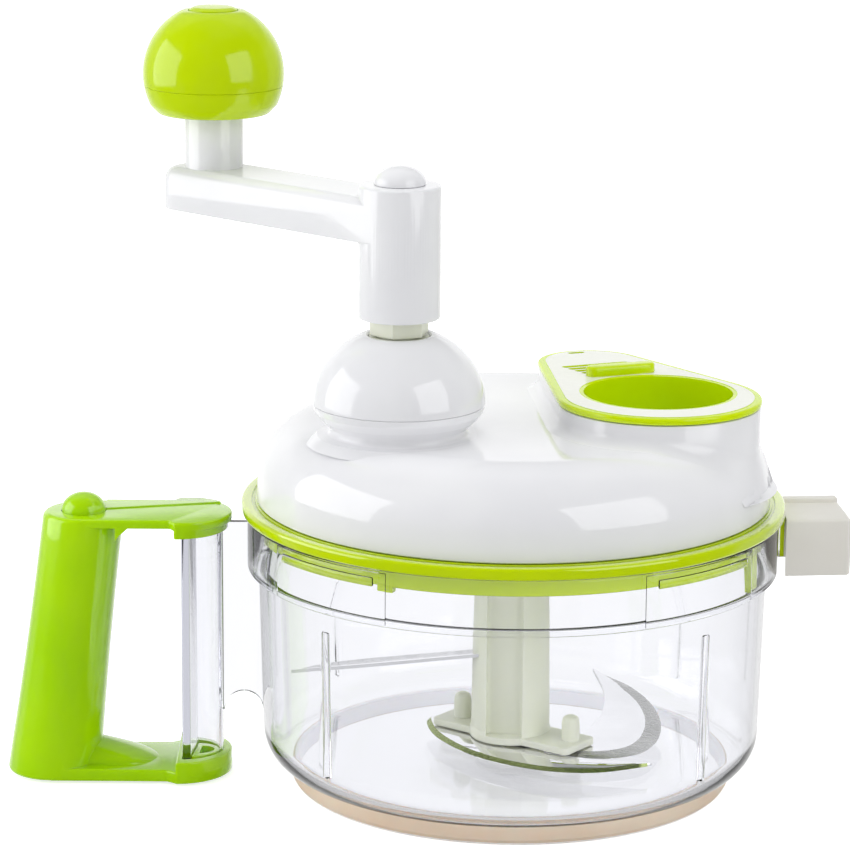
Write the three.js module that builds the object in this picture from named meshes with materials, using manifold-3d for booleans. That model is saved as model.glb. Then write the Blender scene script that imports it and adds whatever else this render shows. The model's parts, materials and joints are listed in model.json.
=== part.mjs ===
// Crank food chopper: a clear bowl with a side handle, and a domed lid whose geared crank
// spins three blades. Millimetres, +Z up. The handle points to -X and the crank is on the
// -Y side. Sizes and places are measured from the middle of the base ring's underside, and
// the whole group is moved at the end so that its origin is under the middle of its outline.

import * as THREE from 'three';
import { mergeVertices } from 'three/addons/utils/BufferGeometryUtils.js';
import Module from 'manifold-3d';

const wasm = await Module();
wasm.setup();

// Clearances
const SEAT = 0.3;            // between pieces that rest on or in each other
const RUN = 0.4;             // radial, between turning pieces and their bores
const SLIP = 0.6;            // radial, between pieces that lift or turn past each other

// Facets of round forms, and the least angle step of small ones
const FINE = 36;
const ROUND = 20;
const SMALL = 12;

// Bowl: the skirt's radius and the rim's height drive most of what follows
const SKIRT_R = 88.2;
const SKIRT_WALL = 2.3;
const SKIRT_STEP = 5;        // how far the skirt stands out from the lower wall
const SKIRT_H = 18.4;
const RIM_Z = 91.7;
const SKIRT_Z = RIM_Z - SKIRT_H;
const SHELF_T = 2.5;
const BOWL_R = SKIRT_R - SKIRT_STEP;
const BOWL_DRAFT = 1.3;      // how much wider the wall is under the skirt
const BOWL_WALL = 2.6;
const BOWL_CORNER = 12;      // outside corner radius
const BOWL_INNER_CORNER = 15;
const BOWL_UNDER = 6;        // height of the bowl's underside
const FLOOR_Z = 9.5;         // height of the bowl's inner floor
const FOOT_INSET = 17.6;     // from the wall in to the foot ring
const FOOT_R = BOWL_R - FOOT_INSET;
const FOOT_W = 4.6;
const RIB_ANGLES = [41, 139, 229, 311];
const RIB_R = 1.7;
const RIB_START = 6;         // above the floor
const RIB_TOP_GAP = 11.8;    // below the skirt's underside
const RIB_SINK = 0.3;        // how deep a rib's middle sits in the wall
const PAD_MIDDLES = [44, 136, 226, 313];
const PAD_SPAN = 32;         // degrees
const PAD_T = 0.7;
const PAD_MARGIN = 0.7;      // above and below a pad
const TRACK_SPAN = 26;       // degrees
const TRACK_H = 2.8;
const TRACK_T = 1.1;
const TRACK_DROP = 4.7;      // from the rim down to a track's middle

// Base ring
const BASE_R = FOOT_R + 8;
const BASE_INNER_R = FOOT_R - 7.6;
const BASE_H = 5.7;
const BASE_WEB = 2;          // under the bowl's foot

// Pivot pin
const PIN_R = 3;
const PIN_TOP = 34;
const PIN_SEAT = 1.8;        // how deep the pin sits in the floor
const PIN_BOSS_R = 7;
const PIN_BOSS_H = 1;

// Handle post of the bowl and the web that carries it
const POST_R = 13.2;
const POST_GAP = 8.3;        // from the skirt to the post
const POST_FLAT_X = -(SKIRT_R + POST_GAP + POST_R);
const POST_WALL = 2.2;
const POST_ROOF = 2.4;
const POST_TOP = RIM_Z - 4.5;
const WEB_T = 3;
const WEB_BOTTOM = 22;
const ARCH_MARGIN = 0.2;     // straight part on each side of the arch

// Handle
const ARM_T = 3;
const HANDLE_TOP = POST_TOP + ARM_T + 0.4;
const HANDLE_BOTTOM = 0.8;
const TOP_ARM_LENGTH = 33;   // from the post's flat side to the middle of the grip
const BOTTOM_ARM_LENGTH = 44.1;
const GRIP_TOP_X = POST_FLAT_X - TOP_ARM_LENGTH;
const GRIP_BOTTOM_X = POST_FLAT_X - BOTTOM_ARM_LENGTH;
const GRIP_TOP_RX = 13.3;
const GRIP_TOP_RY = 13.6;
const GRIP_BOTTOM_RX = 15.6;
const GRIP_BOTTOM_RY = 16;
const GRIP_EDGE = 1.4;
const GRIP_WAIST = 0.5;      // how much slimmer the grip is halfway up
const GRIP_FACETS = 20;
const CAP_WALL = 3.2;        // round the post
const CAP_R = POST_R + CAP_WALL;
const CAP_DEPTH = 5.6;
const SOCKET_DEPTH = 7.4;
const SOCKET_FLOOR = 2.4;
const SOCKET_RIM = 1.6;
const POST_BOTTOM = HANDLE_BOTTOM + SOCKET_FLOOR + SEAT;
const BOSS_D_R = 8.6;
const BOSS_D_WALL = 1.8;
const TOP_ARM_W = 27;
const BOTTOM_ARM_W = 31;
const FAIRING_W = 21;
const FAIRING_H = 12;
const FAIRING_GAP = 8.8;     // from the fairing's nose to the post's flat side
const GUSSET = 5.4;
const GUSSET_T = 3;

// Handle button and its spring
const BUTTON_R = 7.8;
const BUTTON_H = 6.6;
const BUTTON_TRAVEL = 3;
const STEM_R = 5.6;
const STEM_LENGTH = 6;
const SPRING_R = 3.9;
const SPRING_WIRE = 0.9;
const SPRING_TURNS = 5;
const SPRING_LENGTH = 16;
const SPRING_STEPS = 8;
const SPRING_SIDES = 5;

// Lock ring under the lid
const RING_OVERHANG = 2;     // beyond the bowl's skirt
const RING_R = SKIRT_R + RING_OVERHANG;
const RING_TOP = RIM_Z + 4.5;
const RING_H = 4.2;
const RING_FLANGE_H = 2.7;
const RING_SKIRT_R = SKIRT_R - SKIRT_WALL - SLIP;
const RING_SKIRT_T = 2.2;
const RING_SKIRT_DEPTH = 5.7;    // below the bowl's rim
const RING_SKIRT_BOTTOM = RIM_Z - RING_SKIRT_DEPTH;
const GROOVE_W = 1;
const GROOVE_D = 0.8;
const LUG_ANGLES = [62, 152, 242, 331];
const LUG_W = 4.4;
const LUG_DEPTH = 14.2;          // below the bowl's rim
const TAB_T = 1.4;
const TAB_DEPTH = 14.7;          // below the bowl's rim
const TAB_HALF_ANGLE = 7.5;

// Thumb grip of the lock ring
const GRIP_AZIMUTH = 5.3;
const THUMB_R0 = RING_R + SEAT;
const THUMB_REACH = 21.9;
const THUMB_R1 = THUMB_R0 + THUMB_REACH;
const THUMB_W = 27;
const THUMB_H = 18.7;
const THUMB_TOP = RIM_Z - 1.8;
const THUMB_BOTTOM = THUMB_TOP - THUMB_H;
const THUMB_WALL = 2.4;
const THUMB_LIP_W = 4;
const THUMB_LIP_H = 1.6;
const THUMB_CORNER = 1.6;

// Lid dome
const LID_LEDGE = 5;         // of the ring, outside the dome
const LID_R = RING_R - LID_LEDGE;
const LID_BOTTOM = RING_TOP + SEAT;
const LID_RISE = 27.5;
const LID_TOP = LID_BOTTOM + LID_RISE;
const SHOULDER_W = 23.2;
const LID_FLAT_R = LID_R - SHOULDER_W;
const LID_WALL = 2.2;
const LID_RIM_H = 8;
const RIM_DRAFT = 0.6;

// Gear plate that closes the lid
const PLATE_INSET = 4.1;     // inside the lid's edge
const PLATE_R = LID_R - PLATE_INSET;
const PLATE_LIP_W = 1.3;
const PLATE_LIP_R = PLATE_R + PLATE_LIP_W;
const PLATE_LIP_T = 0.6;
const PLATE_T = 2.4;
const PLATE_DROP = 3.9;      // below the lid's edge
const PLATE_BOTTOM = LID_BOTTOM - PLATE_DROP;
const PLATE_RIM_T = 2;
const RING_BORE = PLATE_R + RUN;
const SCREW_ANGLES = [18, 90, 160, 270];
const SCREW_CIRCLE = PLATE_R - 6.6;
const SCREW_R = 1.6;
const SCREW_HEAD_R = 3;
const SCREW_HEAD_T = 1.6;
const SCREW_LENGTH = 11;
const BOSS_R = 3.6;
const POST_W = 2;            // round each screw, on the plate
const SCREW_SIDES = 8;
const PILOT_R = 1.9;         // hole for a self-cutting screw
const PILOT_DEPTH = 12;

// Crank axis and gear pair
const CRANK_RADIUS = 46;     // from the bowl's axis to the crank's
const CRANK_AZIMUTH = 214.4;
const CRANK_TEETH = 45;
const PINION_TEETH = 18;
const GEAR_Z = LID_BOTTOM + 2.1;
const GEAR_T = 6;
const MODULE = 2 * CRANK_RADIUS / (CRANK_TEETH + PINION_TEETH);
const BACKLASH = 0.5;
const DEDENDUM = 1.25;       // in modules
const ADDENDUM = 0.9;
const ROOT_HALF = 0.34;      // of a tooth's step
const TIP_HALF = 0.14;
const GEAR_WEB = 3;          // thickness between the spokes
const GEAR_HUB_R = 12;
const GEAR_RIM_R = 26;
const SPOKE_W = 4;
const SPOKES = 6;

// Gear housing on the lid and its cover
const HOUSING_FOOT_R = 21.6;
const HOUSING_R = 28.05;
const HOUSING_H = 10;
const SEAM_Z = LID_TOP + HOUSING_H;
const COVER_H = 25;          // half height of the cover's full ellipse
const COVER_TOP_R = 12.4;
const COVER_WALL = 2.2;
const COVER_TOP_Z = SEAM_Z + COVER_H * Math.sqrt(1 - (COVER_TOP_R / HOUSING_R) ** 2);
const SPIGOT_R = 25;
const SPIGOT_WALL = 1.8;
const SPIGOT_H = 2.8;

// Crank shaft and its bushing
const SHAFT_R = 7.2;
const GEAR_END_R = SHAFT_R - 0.6;    // across the corners of the hexagon in the gear
const BUSHING_WALL = 2.2;
const BUSHING_R = SHAFT_R + RUN + BUSHING_WALL;
const BUSHING_BOTTOM = LID_TOP - 17;
const BEARING_WALL = 3;
const COLLAR_R = 9.9;
const COLLAR_H = 5.2;
const DRIVE_R = 6.2;         // across corners of the hexagon in the hub
const DRIVE_LENGTH = 30;

// Crank
const HUB_R = 13.3;
const HUB_BOTTOM = COVER_TOP_Z + COLLAR_H + 2 * SEAT;
const HUB_H = 43.2;
const HUB_TOP = HUB_BOTTOM + HUB_H;
const ARM_AZIMUTH = 138;
const ARM_LENGTH = 84;
const CRANK_ARM_W = 26.6;
const CRANK_ARM_TOP = HUB_TOP - 3.8;
const CRANK_ARM_H = 14.2;
const CRANK_ARM_BEVEL = 4.5;
const SPINDLE_R = 9.7;
const CRANK_CAP_R = 7.9;
const CRANK_CAP_H = 5.8;
const CRANK_CAP_LEDGE = 1.6;
const CRANK_SCREW_WEB = 4;   // between the shaft's end and the screw's head

// Knob
const KNOB_R = 23.4;
const SPINDLE_H = 18;        // of the spindle above the arm
const KNOB_BOTTOM = CRANK_ARM_TOP + SPINDLE_H;
const KNOB_CENTRE = KNOB_BOTTOM + 13;
const KNOB_SEAM = KNOB_BOTTOM + 9.2;
const KNOB_TOP = KNOB_BOTTOM + 34;
const KNOB_CAP_R = 8;
const KNOB_CAP_T = 2.6;
const AXLE_R = 6.2;
const AXLE_TOP = KNOB_BOTTOM + 23.4;

// Pinion and its drive into the blade shaft
const PINION_PIN_R = 4;
const PINION_PIN_TOP = LID_TOP - 10;
const PIVOT_BOSS_WALL = 3;
const JOURNAL_R = 8;
const DRIVE_HEX_R = 6.6;
const DRIVE_HEX_LENGTH = 12.2;
const DRIVE_HEX_BOTTOM = PLATE_BOTTOM - DRIVE_HEX_LENGTH;

// Blade shaft
const BLADE_SHAFT_R0 = 13.2;
const BLADE_SHAFT_R1 = 12.3;
const BLADE_SHAFT_BOTTOM = 13.9;
const BLADE_SHAFT_TOP = PLATE_BOTTOM - 2;
const GROOVE_AZIMUTH = 258;  // of the groove down the shaft, with its twin opposite
const SHAFT_GROOVE_W = 12;
const SHAFT_GROOVE_FLOOR = 8.2;  // from the axis
const WING_T = 2.5;
const WING_W = 18.4;
const WING_REACH = 29;
const WING_CORNER = 3;
const WING_AZIMUTH = 143;
const STUD_RADIUS = 21.8;
const STUD_R = 3;
const STUD_TOP = 25;
const RETAINER_BOTTOM = 10.8;
const RETAINER_T = 1.3;
const RETAINER_R = 12;
const RETAINER_W = 12;

// Blades: outlines are drawn for a reach of 1 and scaled
const BLADE_T = 1.1;
const BLADE_Z = RETAINER_BOTTOM + RETAINER_T + SEAT;
const FRONT_BLADE_REACH = 54.4;
const REAR_BLADE_REACH = 64.6;
const REAR_BLADE_RISE = 6;       // degrees
const UPPER_BLADE_Z = 43.4;
const UPPER_BLADE_REACH = 74;
const UPPER_BLADE_HALF_W = 6;
const UPPER_BLADE_AZIMUTH = 184;
const UPPER_BLADE_DROOP = 4.5;   // degrees
const UPPER_BLADE_ROOT = 6.5;    // how near the axis its root reaches

// Feed chute and its lift-out insert
const CHUTE_INSET = 36.16;       // from the lid's edge in to the big end's centre
const CHUTE_BIG_AZIMUTH = -16.59;
const CHUTE_BIG_R = 33.2;
const CHUTE_AZIMUTH = 111;
const CHUTE_LENGTH = 55.5;
const CHUTE_SMALL_R = 18;
const CHUTE_RISE = 7.6;          // above the flat of the lid
const CHUTE_TOP = LID_TOP + CHUTE_RISE;
const CHUTE_WALL = 2.4;
const CHUTE_FLOOR = LID_TOP - 7;
const CHUTE_FLARE = 4.6;
const FLARE_RISE = 3.5;          // above the flat of the lid
const INSERT_GROW = 0.3;         // beyond the chute's wall
const INSERT_T = 2.2;
const INSERT_EDGE = 0.6;
const INSERT_SKIRT_H = 4;
const INSERT_SKIRT_T = 1.4;
const CUP_OFFSET = 5.6;          // from the big end's centre towards the small end
const CUP_R = 25.1;
const CUP_DEPTH = 24;
const CUP_BOTTOM_R = 15;
const CUP_WALL = 1.6;
const CUP_SWELL = 0.7;           // how fast the cup widens above its floor
const DRAIN_W = 16;
const DRAIN_H = 6;
const DRAIN_AZIMUTH = 64;
const SLOT_COUNT = 5;
const SLOT_PITCH = 3.5;
const SLOT_W = 1.3;
const SLOT_LENGTH = 23;
const SLOT_START = 49.5;
const SLOT_SHIFT = -1.4;         // of the first slot to the side
const SLOT_STEP = 0.9;           // of each next slot to the side
const BAR_LENGTH = 24.5;
const BAR_W = 5.6;
const BAR_H = 3.4;
const BAR_PLACE = 34.6;
const BAR_SHIFT = -2.5;
const BAR_EDGE = 0.9;
const KEYHOLE_LENGTH = 6;
const KEYHOLE_W = 2;
const KEYHOLE_INSET = 4.5;       // from the narrow end's edge

// Colours from the object's plastics and metals
const LIME = 0x9fcf1c;
const PALE_LIME = 0xc9dd84;
const WHITE = 0xf0f0f2;
const IVORY = 0xdfe0cc;
const CLEAR_PLASTIC = 0xdfe4f2;
const SILICONE = 0xd8b79c;
const STEEL = 0xb9bcc0;

// Helpers

const rad = THREE.MathUtils.degToRad;
const polar = (radius, azimuth) => [radius * Math.cos(rad(azimuth)), radius * Math.sin(rad(azimuth))];
const crankPlace = polar(CRANK_RADIUS, CRANK_AZIMUTH);
const chutePlace = polar(LID_R - CHUTE_INSET, CHUTE_BIG_AZIMUTH);
const chuteAxis = polar(1, CHUTE_AZIMUTH);

// A closed geometry as a manifold solid, with its faces pointing out
function solid(geometry) {
  const plain = geometry.index ? geometry.toNonIndexed() : geometry.clone();
  plain.deleteAttribute('normal');
  plain.deleteAttribute('uv');
  const merged = mergeVertices(plain, 1e-4);
  const p = merged.attributes.position;
  const index = merged.index.array;
  const faces = [];
  let volume = 0;
  const a = new THREE.Vector3();
  const b = new THREE.Vector3();
  const c = new THREE.Vector3();
  for (let i = 0; i < index.length; i += 3) {
    const [u, v, w] = [index[i], index[i + 1], index[i + 2]];
    if (u === v || v === w || u === w) continue;
    faces.push(u, v, w);
    a.fromBufferAttribute(p, u);
    b.fromBufferAttribute(p, v);
    c.fromBufferAttribute(p, w);
    volume += a.dot(b.cross(c));
  }
  if (volume < 0) faces.reverse();
  const mesh = new wasm.Mesh({
    numProp: 3,
    vertProperties: new Float32Array(p.array),
    triVerts: new Uint32Array(faces),
  });
  return new wasm.Manifold(mesh);
}

function geometryOf(body) {
  const mesh = body.getMesh();
  const geometry = new THREE.BufferGeometry();
  geometry.setAttribute('position', new THREE.BufferAttribute(mesh.vertProperties, 3));
  geometry.setIndex(new THREE.BufferAttribute(mesh.triVerts, 1));
  return geometry;
}

const join = (...bodies) => bodies.reduce((whole, next) => whole.add(next));
const cut = (body, ...tools) => tools.reduce((rest, tool) => rest.subtract(tool), body);

// A solid of revolution about Z from [radius, height] pairs
function revolve(profile, segments = ROUND) {
  const points = profile.map(([r, z]) => new THREE.Vector2(r, z));
  const closed = points[0].x > 0 || points[points.length - 1].x > 0;
  if (closed) points.push(points[0].clone());
  return solid(new THREE.LatheGeometry(points, segments).rotateX(Math.PI / 2));
}

const disc = (r, z0, z1, segments = ROUND) => revolve([[0, z0], [r, z0], [r, z1], [0, z1]], segments);
const tube = (r0, r1, z0, z1, segments = ROUND) =>
  revolve([[r0, z0], [r1, z0], [r1, z1], [r0, z1]], segments);

// A straight prism of an outline, from one height to another
function prism(shape, z0, z1, curveSegments = 10) {
  const geometry = new THREE.ExtrudeGeometry(shape, { depth: z1 - z0, bevelEnabled: false, curveSegments });
  return solid(geometry.translate(0, 0, z0));
}

// A prism with its top and bottom edges rounded by a radius, inside its outline
function softPrism(shape, z0, z1, edge, curveSegments = 10) {
  const geometry = new THREE.ExtrudeGeometry(shape, {
    depth: z1 - z0 - 2 * edge,
    bevelEnabled: true,
    bevelThickness: edge,
    bevelSize: edge,
    bevelOffset: -edge,
    bevelSegments: 2,
    curveSegments,
  });
  return solid(geometry.translate(0, 0, z0 + edge));
}

const box = (x0, x1, y0, y1, z0, z1) => {
  const geometry = new THREE.BoxGeometry(x1 - x0, y1 - y0, z1 - z0);
  return solid(geometry.translate((x0 + x1) / 2, (y0 + y1) / 2, (z0 + z1) / 2));
};

const polygon = (points) => new THREE.Shape(points.map(([x, y]) => new THREE.Vector2(x, y)));

// Points of an arc about a centre, angles in degrees
function arc(cx, cy, r, from, to, steps) {
  const points = [];
  for (let i = 0; i <= steps; i++) {
    const angle = rad(from + (to - from) * i / steps);
    points.push([cx + r * Math.cos(angle), cy + r * Math.sin(angle)]);
  }
  return points;
}

// Quarter of an ellipse from [r, z] up to the axis, for a domed top
function domeArc(r, z, height, steps = 3) {
  const points = arc(0, 0, 1, 0, 90, steps).map(([c, s]) => [r * c, z + height * s]);
  points[steps][0] = 0;
  return points;
}

const hexagon = (r) => polygon(arc(0, 0, r, 0, 300, 5));

// A half disc with its flat side towards -X
function halfDisc(flatX, r, steps = 12) {
  return polygon(arc(flatX, 0, r, -90, 90, steps));
}

// A slot or bar outline with round ends, centred on the origin, along X
function roundBar(length, width, steps = 8) {
  const half = length / 2 - width / 2;
  return polygon([
    ...arc(half, 0, width / 2, -90, 90, steps),
    ...arc(-half, 0, width / 2, 90, 270, steps),
  ]);
}

// A sector of a ring about Z, between two radii, heights and azimuths
function ringSector(r0, r1, z0, z1, from, to) {
  const steps = Math.max(2, Math.round(Math.abs(to - from) / 8));
  const outline = [...arc(0, 0, r0, from, to, steps), ...arc(0, 0, r1, to, from, steps)];
  return prism(polygon(outline), z0, z1);
}

// A loft through closed rings with the same number of points, capped at both ends
function loft(rings) {
  const n = rings[0].length;
  const positions = rings.flat(2);
  const indices = [];
  for (let k = 0; k + 1 < rings.length; k++) {
    for (let i = 0; i < n; i++) {
      const [a, b] = [k * n + i, k * n + (i + 1) % n];
      indices.push(a, b, b + n, a, b + n, a + n);
    }
  }
  const last = (rings.length - 1) * n;
  for (let i = 1; i + 1 < n; i++) {
    indices.push(0, i + 1, i);
    indices.push(last, last + i, last + i + 1);
  }
  const geometry = new THREE.BufferGeometry();
  geometry.setAttribute('position', new THREE.Float32BufferAttribute(positions, 3));
  geometry.setIndex(indices);
  return solid(geometry);
}

const group = new THREE.Group();

function piece(name, body, colour, roughness = 0.35, metalness = 0) {
  const material = new THREE.MeshStandardMaterial({ color: colour, roughness, metalness });
  const mesh = new THREE.Mesh(geometryOf(body), material);
  mesh.name = name;
  group.add(mesh);
}

// Base ring: a soft tray that holds the bowl's foot
function baseRing() {
  return revolve([
    [BASE_INNER_R, 0],
    [BASE_R - 0.8, 0],
    [BASE_R, 0.8],
    [BASE_R, BASE_H - 0.6],
    [BASE_R - 0.6, BASE_H],
    [FOOT_R + SEAT, BASE_H],
    [FOOT_R + SEAT, BASE_WEB],
    [BASE_INNER_R, BASE_WEB],
  ], FINE);
}

// The bowl's outside radius at a height of its straight wall
function bowlRadius(z) {
  const low = BOWL_UNDER + BOWL_CORNER;
  return BOWL_R + BOWL_DRAFT * (z - low) / (SKIRT_Z - low);
}

function bowlShell() {
  const outerCorner = arc(BOWL_R - BOWL_CORNER, BOWL_UNDER + BOWL_CORNER, BOWL_CORNER, -90, 0, 4);
  const innerLow = FLOOR_Z + BOWL_INNER_CORNER;
  const innerR = bowlRadius(innerLow) - BOWL_WALL;
  const innerCorner = arc(innerR - BOWL_INNER_CORNER, innerLow, BOWL_INNER_CORNER, 0, -90, 4);
  const shelfZ = SKIRT_Z + SHELF_T;
  return revolve([
    [0, BOWL_UNDER],
    [FOOT_R - FOOT_W, BOWL_UNDER],
    [FOOT_R - FOOT_W, BASE_WEB + SEAT],
    [FOOT_R, BASE_WEB + SEAT],
    [FOOT_R, BOWL_UNDER],
    ...outerCorner,
    [bowlRadius(SKIRT_Z), SKIRT_Z],
    [SKIRT_R - 0.6, SKIRT_Z],
    [SKIRT_R, SKIRT_Z + 0.8],
    [SKIRT_R, RIM_Z],
    [SKIRT_R - SKIRT_WALL, RIM_Z],
    [SKIRT_R - SKIRT_WALL, shelfZ],
    [bowlRadius(SKIRT_Z) - BOWL_WALL, shelfZ],
    ...innerCorner,
    [PIN_BOSS_R, FLOOR_Z],
    [PIN_BOSS_R - 0.8, FLOOR_Z + PIN_BOSS_H],
    [PIN_R + SEAT, FLOOR_Z + PIN_BOSS_H],
    [PIN_R + SEAT, FLOOR_Z - PIN_SEAT],
    [0, FLOOR_Z - PIN_SEAT],
  ], FINE);
}

// A round vertical rib half sunk in the inside of the wall
function bowlRib(azimuth) {
  const z0 = FLOOR_Z + RIB_START;
  const z1 = SKIRT_Z - RIB_TOP_GAP;
  const [x0, y0] = polar(bowlRadius(z0) - BOWL_WALL + RIB_SINK, azimuth);
  const [x1, y1] = polar(bowlRadius(z1) - BOWL_WALL + RIB_SINK, azimuth);
  const ring = (x, y, z) => arc(x, y, RIB_R, 0, 315, 7).map(([px, py]) => [px, py, z]);
  return loft([ring(x0, y0, z0), ring(x1, y1, z1)]);
}

// A thicker stretch of the skirt with the raised outline of a lock track
function bowlPad(middle) {
  const pad = ringSector(
    SKIRT_R - PAD_T, SKIRT_R + PAD_T, SKIRT_Z + PAD_MARGIN, RIM_Z - PAD_MARGIN,
    middle - PAD_SPAN / 2, middle + PAD_SPAN / 2,
  );
  const trackZ = RIM_Z - TRACK_DROP;
  const track = ringSector(
    SKIRT_R, SKIRT_R + TRACK_T, trackZ - TRACK_H / 2, trackZ + TRACK_H / 2,
    middle - TRACK_SPAN / 2, middle + TRACK_SPAN / 2,
  );
  return join(pad, track);
}

// The hollow post that the handle clips on, with the web that joins it to the bowl
function handlePost() {
  const outer = prism(halfDisc(POST_FLAT_X, POST_R), POST_BOTTOM, POST_TOP);
  const hollow = halfDisc(POST_FLAT_X + POST_WALL, POST_R - 2 * POST_WALL);
  const inner = prism(hollow, POST_BOTTOM - 1, POST_TOP - POST_ROOF);
  const postSide = POST_FLAT_X + POST_R - POST_WALL / 2;
  const bowlSide = -bowlRadius(SKIRT_Z) + BOWL_WALL / 2;
  const [archStart, archEnd] = [POST_FLAT_X + POST_R, -bowlRadius(WEB_BOTTOM)];
  const archR = (archEnd - archStart) / 2 - ARCH_MARGIN;
  const outline = polygon([
    [postSide, WEB_BOTTOM],
    ...arc((archStart + archEnd) / 2, WEB_BOTTOM, archR, 180, 0, 8),
    [bowlSide, WEB_BOTTOM],
    [bowlSide, SKIRT_Z + 2],
    [-SKIRT_R + SKIRT_WALL / 2, SKIRT_Z + 2],
    [-SKIRT_R + SKIRT_WALL / 2, POST_TOP],
    [postSide, POST_TOP],
  ]);
  const geometry = new THREE.ExtrudeGeometry(outline, { depth: WEB_T, bevelEnabled: false });
  const web = solid(geometry.rotateX(Math.PI / 2).translate(0, WEB_T / 2, 0));
  return cut(join(outer, web), inner);
}

function bowl() {
  return join(
    bowlShell(),
    handlePost(),
    ...RIB_ANGLES.map(bowlRib),
    ...PAD_MIDDLES.map(bowlPad),
  );
}

function pivotPin() {
  return revolve([
    [0, FLOOR_Z - PIN_SEAT + SEAT],
    [PIN_R, FLOOR_Z - PIN_SEAT + SEAT],
    [PIN_R, PIN_TOP - 1],
    [PIN_R - 1, PIN_TOP],
    [0, PIN_TOP],
  ], SMALL);
}

// The grip: an oval column that leans outwards and swells towards its foot
function gripColumn() {
  const ring = (z, inset) => {
    const t = (z - HANDLE_BOTTOM) / (HANDLE_TOP - HANDLE_BOTTOM);
    const x = THREE.MathUtils.lerp(GRIP_BOTTOM_X, GRIP_TOP_X, t);
    const rx = THREE.MathUtils.lerp(GRIP_BOTTOM_RX, GRIP_TOP_RX, t) - inset;
    const ry = THREE.MathUtils.lerp(GRIP_BOTTOM_RY, GRIP_TOP_RY, t) - inset;
    return Array.from({ length: GRIP_FACETS }, (_, i) => {
      const angle = 2 * Math.PI * i / GRIP_FACETS;
      return [x + rx * Math.cos(angle), ry * Math.sin(angle), z];
    });
  };
  return loft([
    ring(HANDLE_BOTTOM, GRIP_EDGE),
    ring(HANDLE_BOTTOM + GRIP_EDGE, 0),
    ring((HANDLE_BOTTOM + HANDLE_TOP) / 2, GRIP_WAIST),
    ring(HANDLE_TOP - GRIP_EDGE, 0),
    ring(HANDLE_TOP, GRIP_EDGE),
  ]);
}

// The upper arm: a thin plate that widens into the cap over the bowl's post
function upperArm() {
  const half = TOP_ARM_W / 2;
  const plate = polygon([
    [GRIP_TOP_X, -half],
    [POST_FLAT_X - 3, -half],
    [POST_FLAT_X - SEAT, -CAP_R],
    ...arc(POST_FLAT_X - SEAT, 0, CAP_R, -84, 84, 12),
    [POST_FLAT_X - SEAT, CAP_R],
    [POST_FLAT_X - 3, half],
    [GRIP_TOP_X, half],
  ]);
  const cap = halfDisc(POST_FLAT_X - SEAT - 1.8, CAP_R + 0.6);
  const rimBottom = HANDLE_TOP - CAP_DEPTH;
  const arm = prism(plate, HANDLE_TOP - ARM_T, HANDLE_TOP);
  const rim = prism(cap, rimBottom, HANDLE_TOP - 1);
  const ledge = GRIP_TOP_X + GRIP_TOP_RX - 2;
  const gusset = polygon([
    [ledge, HANDLE_TOP - ARM_T + 1],
    [ledge, HANDLE_TOP - ARM_T - GUSSET - 3],
    [ledge + 2, HANDLE_TOP - ARM_T - GUSSET],
    [ledge + 2 + GUSSET, HANDLE_TOP - ARM_T],
    [ledge + 2 + GUSSET, HANDLE_TOP - ARM_T + 1],
  ]);
  const side = new THREE.ExtrudeGeometry(gusset, { depth: GUSSET_T, bevelEnabled: false });
  const gussets = [-1, 1].map((sign) => {
    const y = sign * (half - GUSSET_T) + GUSSET_T / 2;
    return solid(side.clone().rotateX(Math.PI / 2).translate(0, y, 0));
  });
  return join(arm, rim, ...gussets);
}

// The lower arm: a plate with a raised fairing at the grip and the socket for the post
function lowerArm() {
  const half = BOTTOM_ARM_W / 2;
  const top = HANDLE_BOTTOM + ARM_T + 0.6;
  const plate = polygon([
    [GRIP_BOTTOM_X, -half],
    [POST_FLAT_X - 4, -half],
    [POST_FLAT_X - 2, -CAP_R],
    ...arc(POST_FLAT_X - 2, 0, CAP_R + SOCKET_RIM, -80, 80, 12),
    [POST_FLAT_X - 2, CAP_R],
    [POST_FLAT_X - 4, half],
    [GRIP_BOTTOM_X, half],
  ]);
  const socket = halfDisc(POST_FLAT_X - SEAT - 1.8, CAP_R + SOCKET_RIM);
  const start = GRIP_BOTTOM_X + GRIP_BOTTOM_RX - 5;
  const length = POST_FLAT_X - FAIRING_GAP - start;
  const halfFairing = FAIRING_W / 2;
  const station = (t) => {
    const x = start + length * t;
    const w = halfFairing * Math.sqrt(Math.max(0.05, 1 - Math.pow(Math.max(0, t - 0.55) / 0.45, 2)));
    const z = top + FAIRING_H * (1 - t) + 1.5 * Math.sqrt(1 - t * t * 0.96);
    return [
      [x, -w, top - 1],
      [x, w, top - 1],
      [x, w, z - 1.5],
      [x, w - 1.5, z],
      [x, -w + 1.5, z],
      [x, -w, z - 1.5],
    ];
  };
  const fairing = loft([0, 0.3, 0.55, 0.75, 0.88, 0.96, 1].map(station));
  return join(
    prism(plate, HANDLE_BOTTOM, top),
    prism(socket, HANDLE_BOTTOM, HANDLE_BOTTOM + SOCKET_DEPTH),
    fairing,
  );
}

// What the bowl's post and web take out of the handle's cap and socket
function postSpace() {
  const gap = SEAT;
  const shape = halfDisc(POST_FLAT_X - gap, POST_R + gap + 0.1);
  const capSpace = prism(shape, HANDLE_TOP - CAP_DEPTH - 1, POST_TOP + SEAT);
  const webX = POST_FLAT_X + POST_R / 2;
  const half = WEB_T / 2 + gap;
  const webSpace = box(webX, webX + 20, -half, half, HANDLE_TOP - CAP_DEPTH - 1, POST_TOP + SEAT);
  const socketSpace = prism(shape, HANDLE_BOTTOM + SOCKET_FLOOR, HANDLE_BOTTOM + SOCKET_DEPTH + 1);
  return join(capSpace, webSpace, socketSpace);
}

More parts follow.
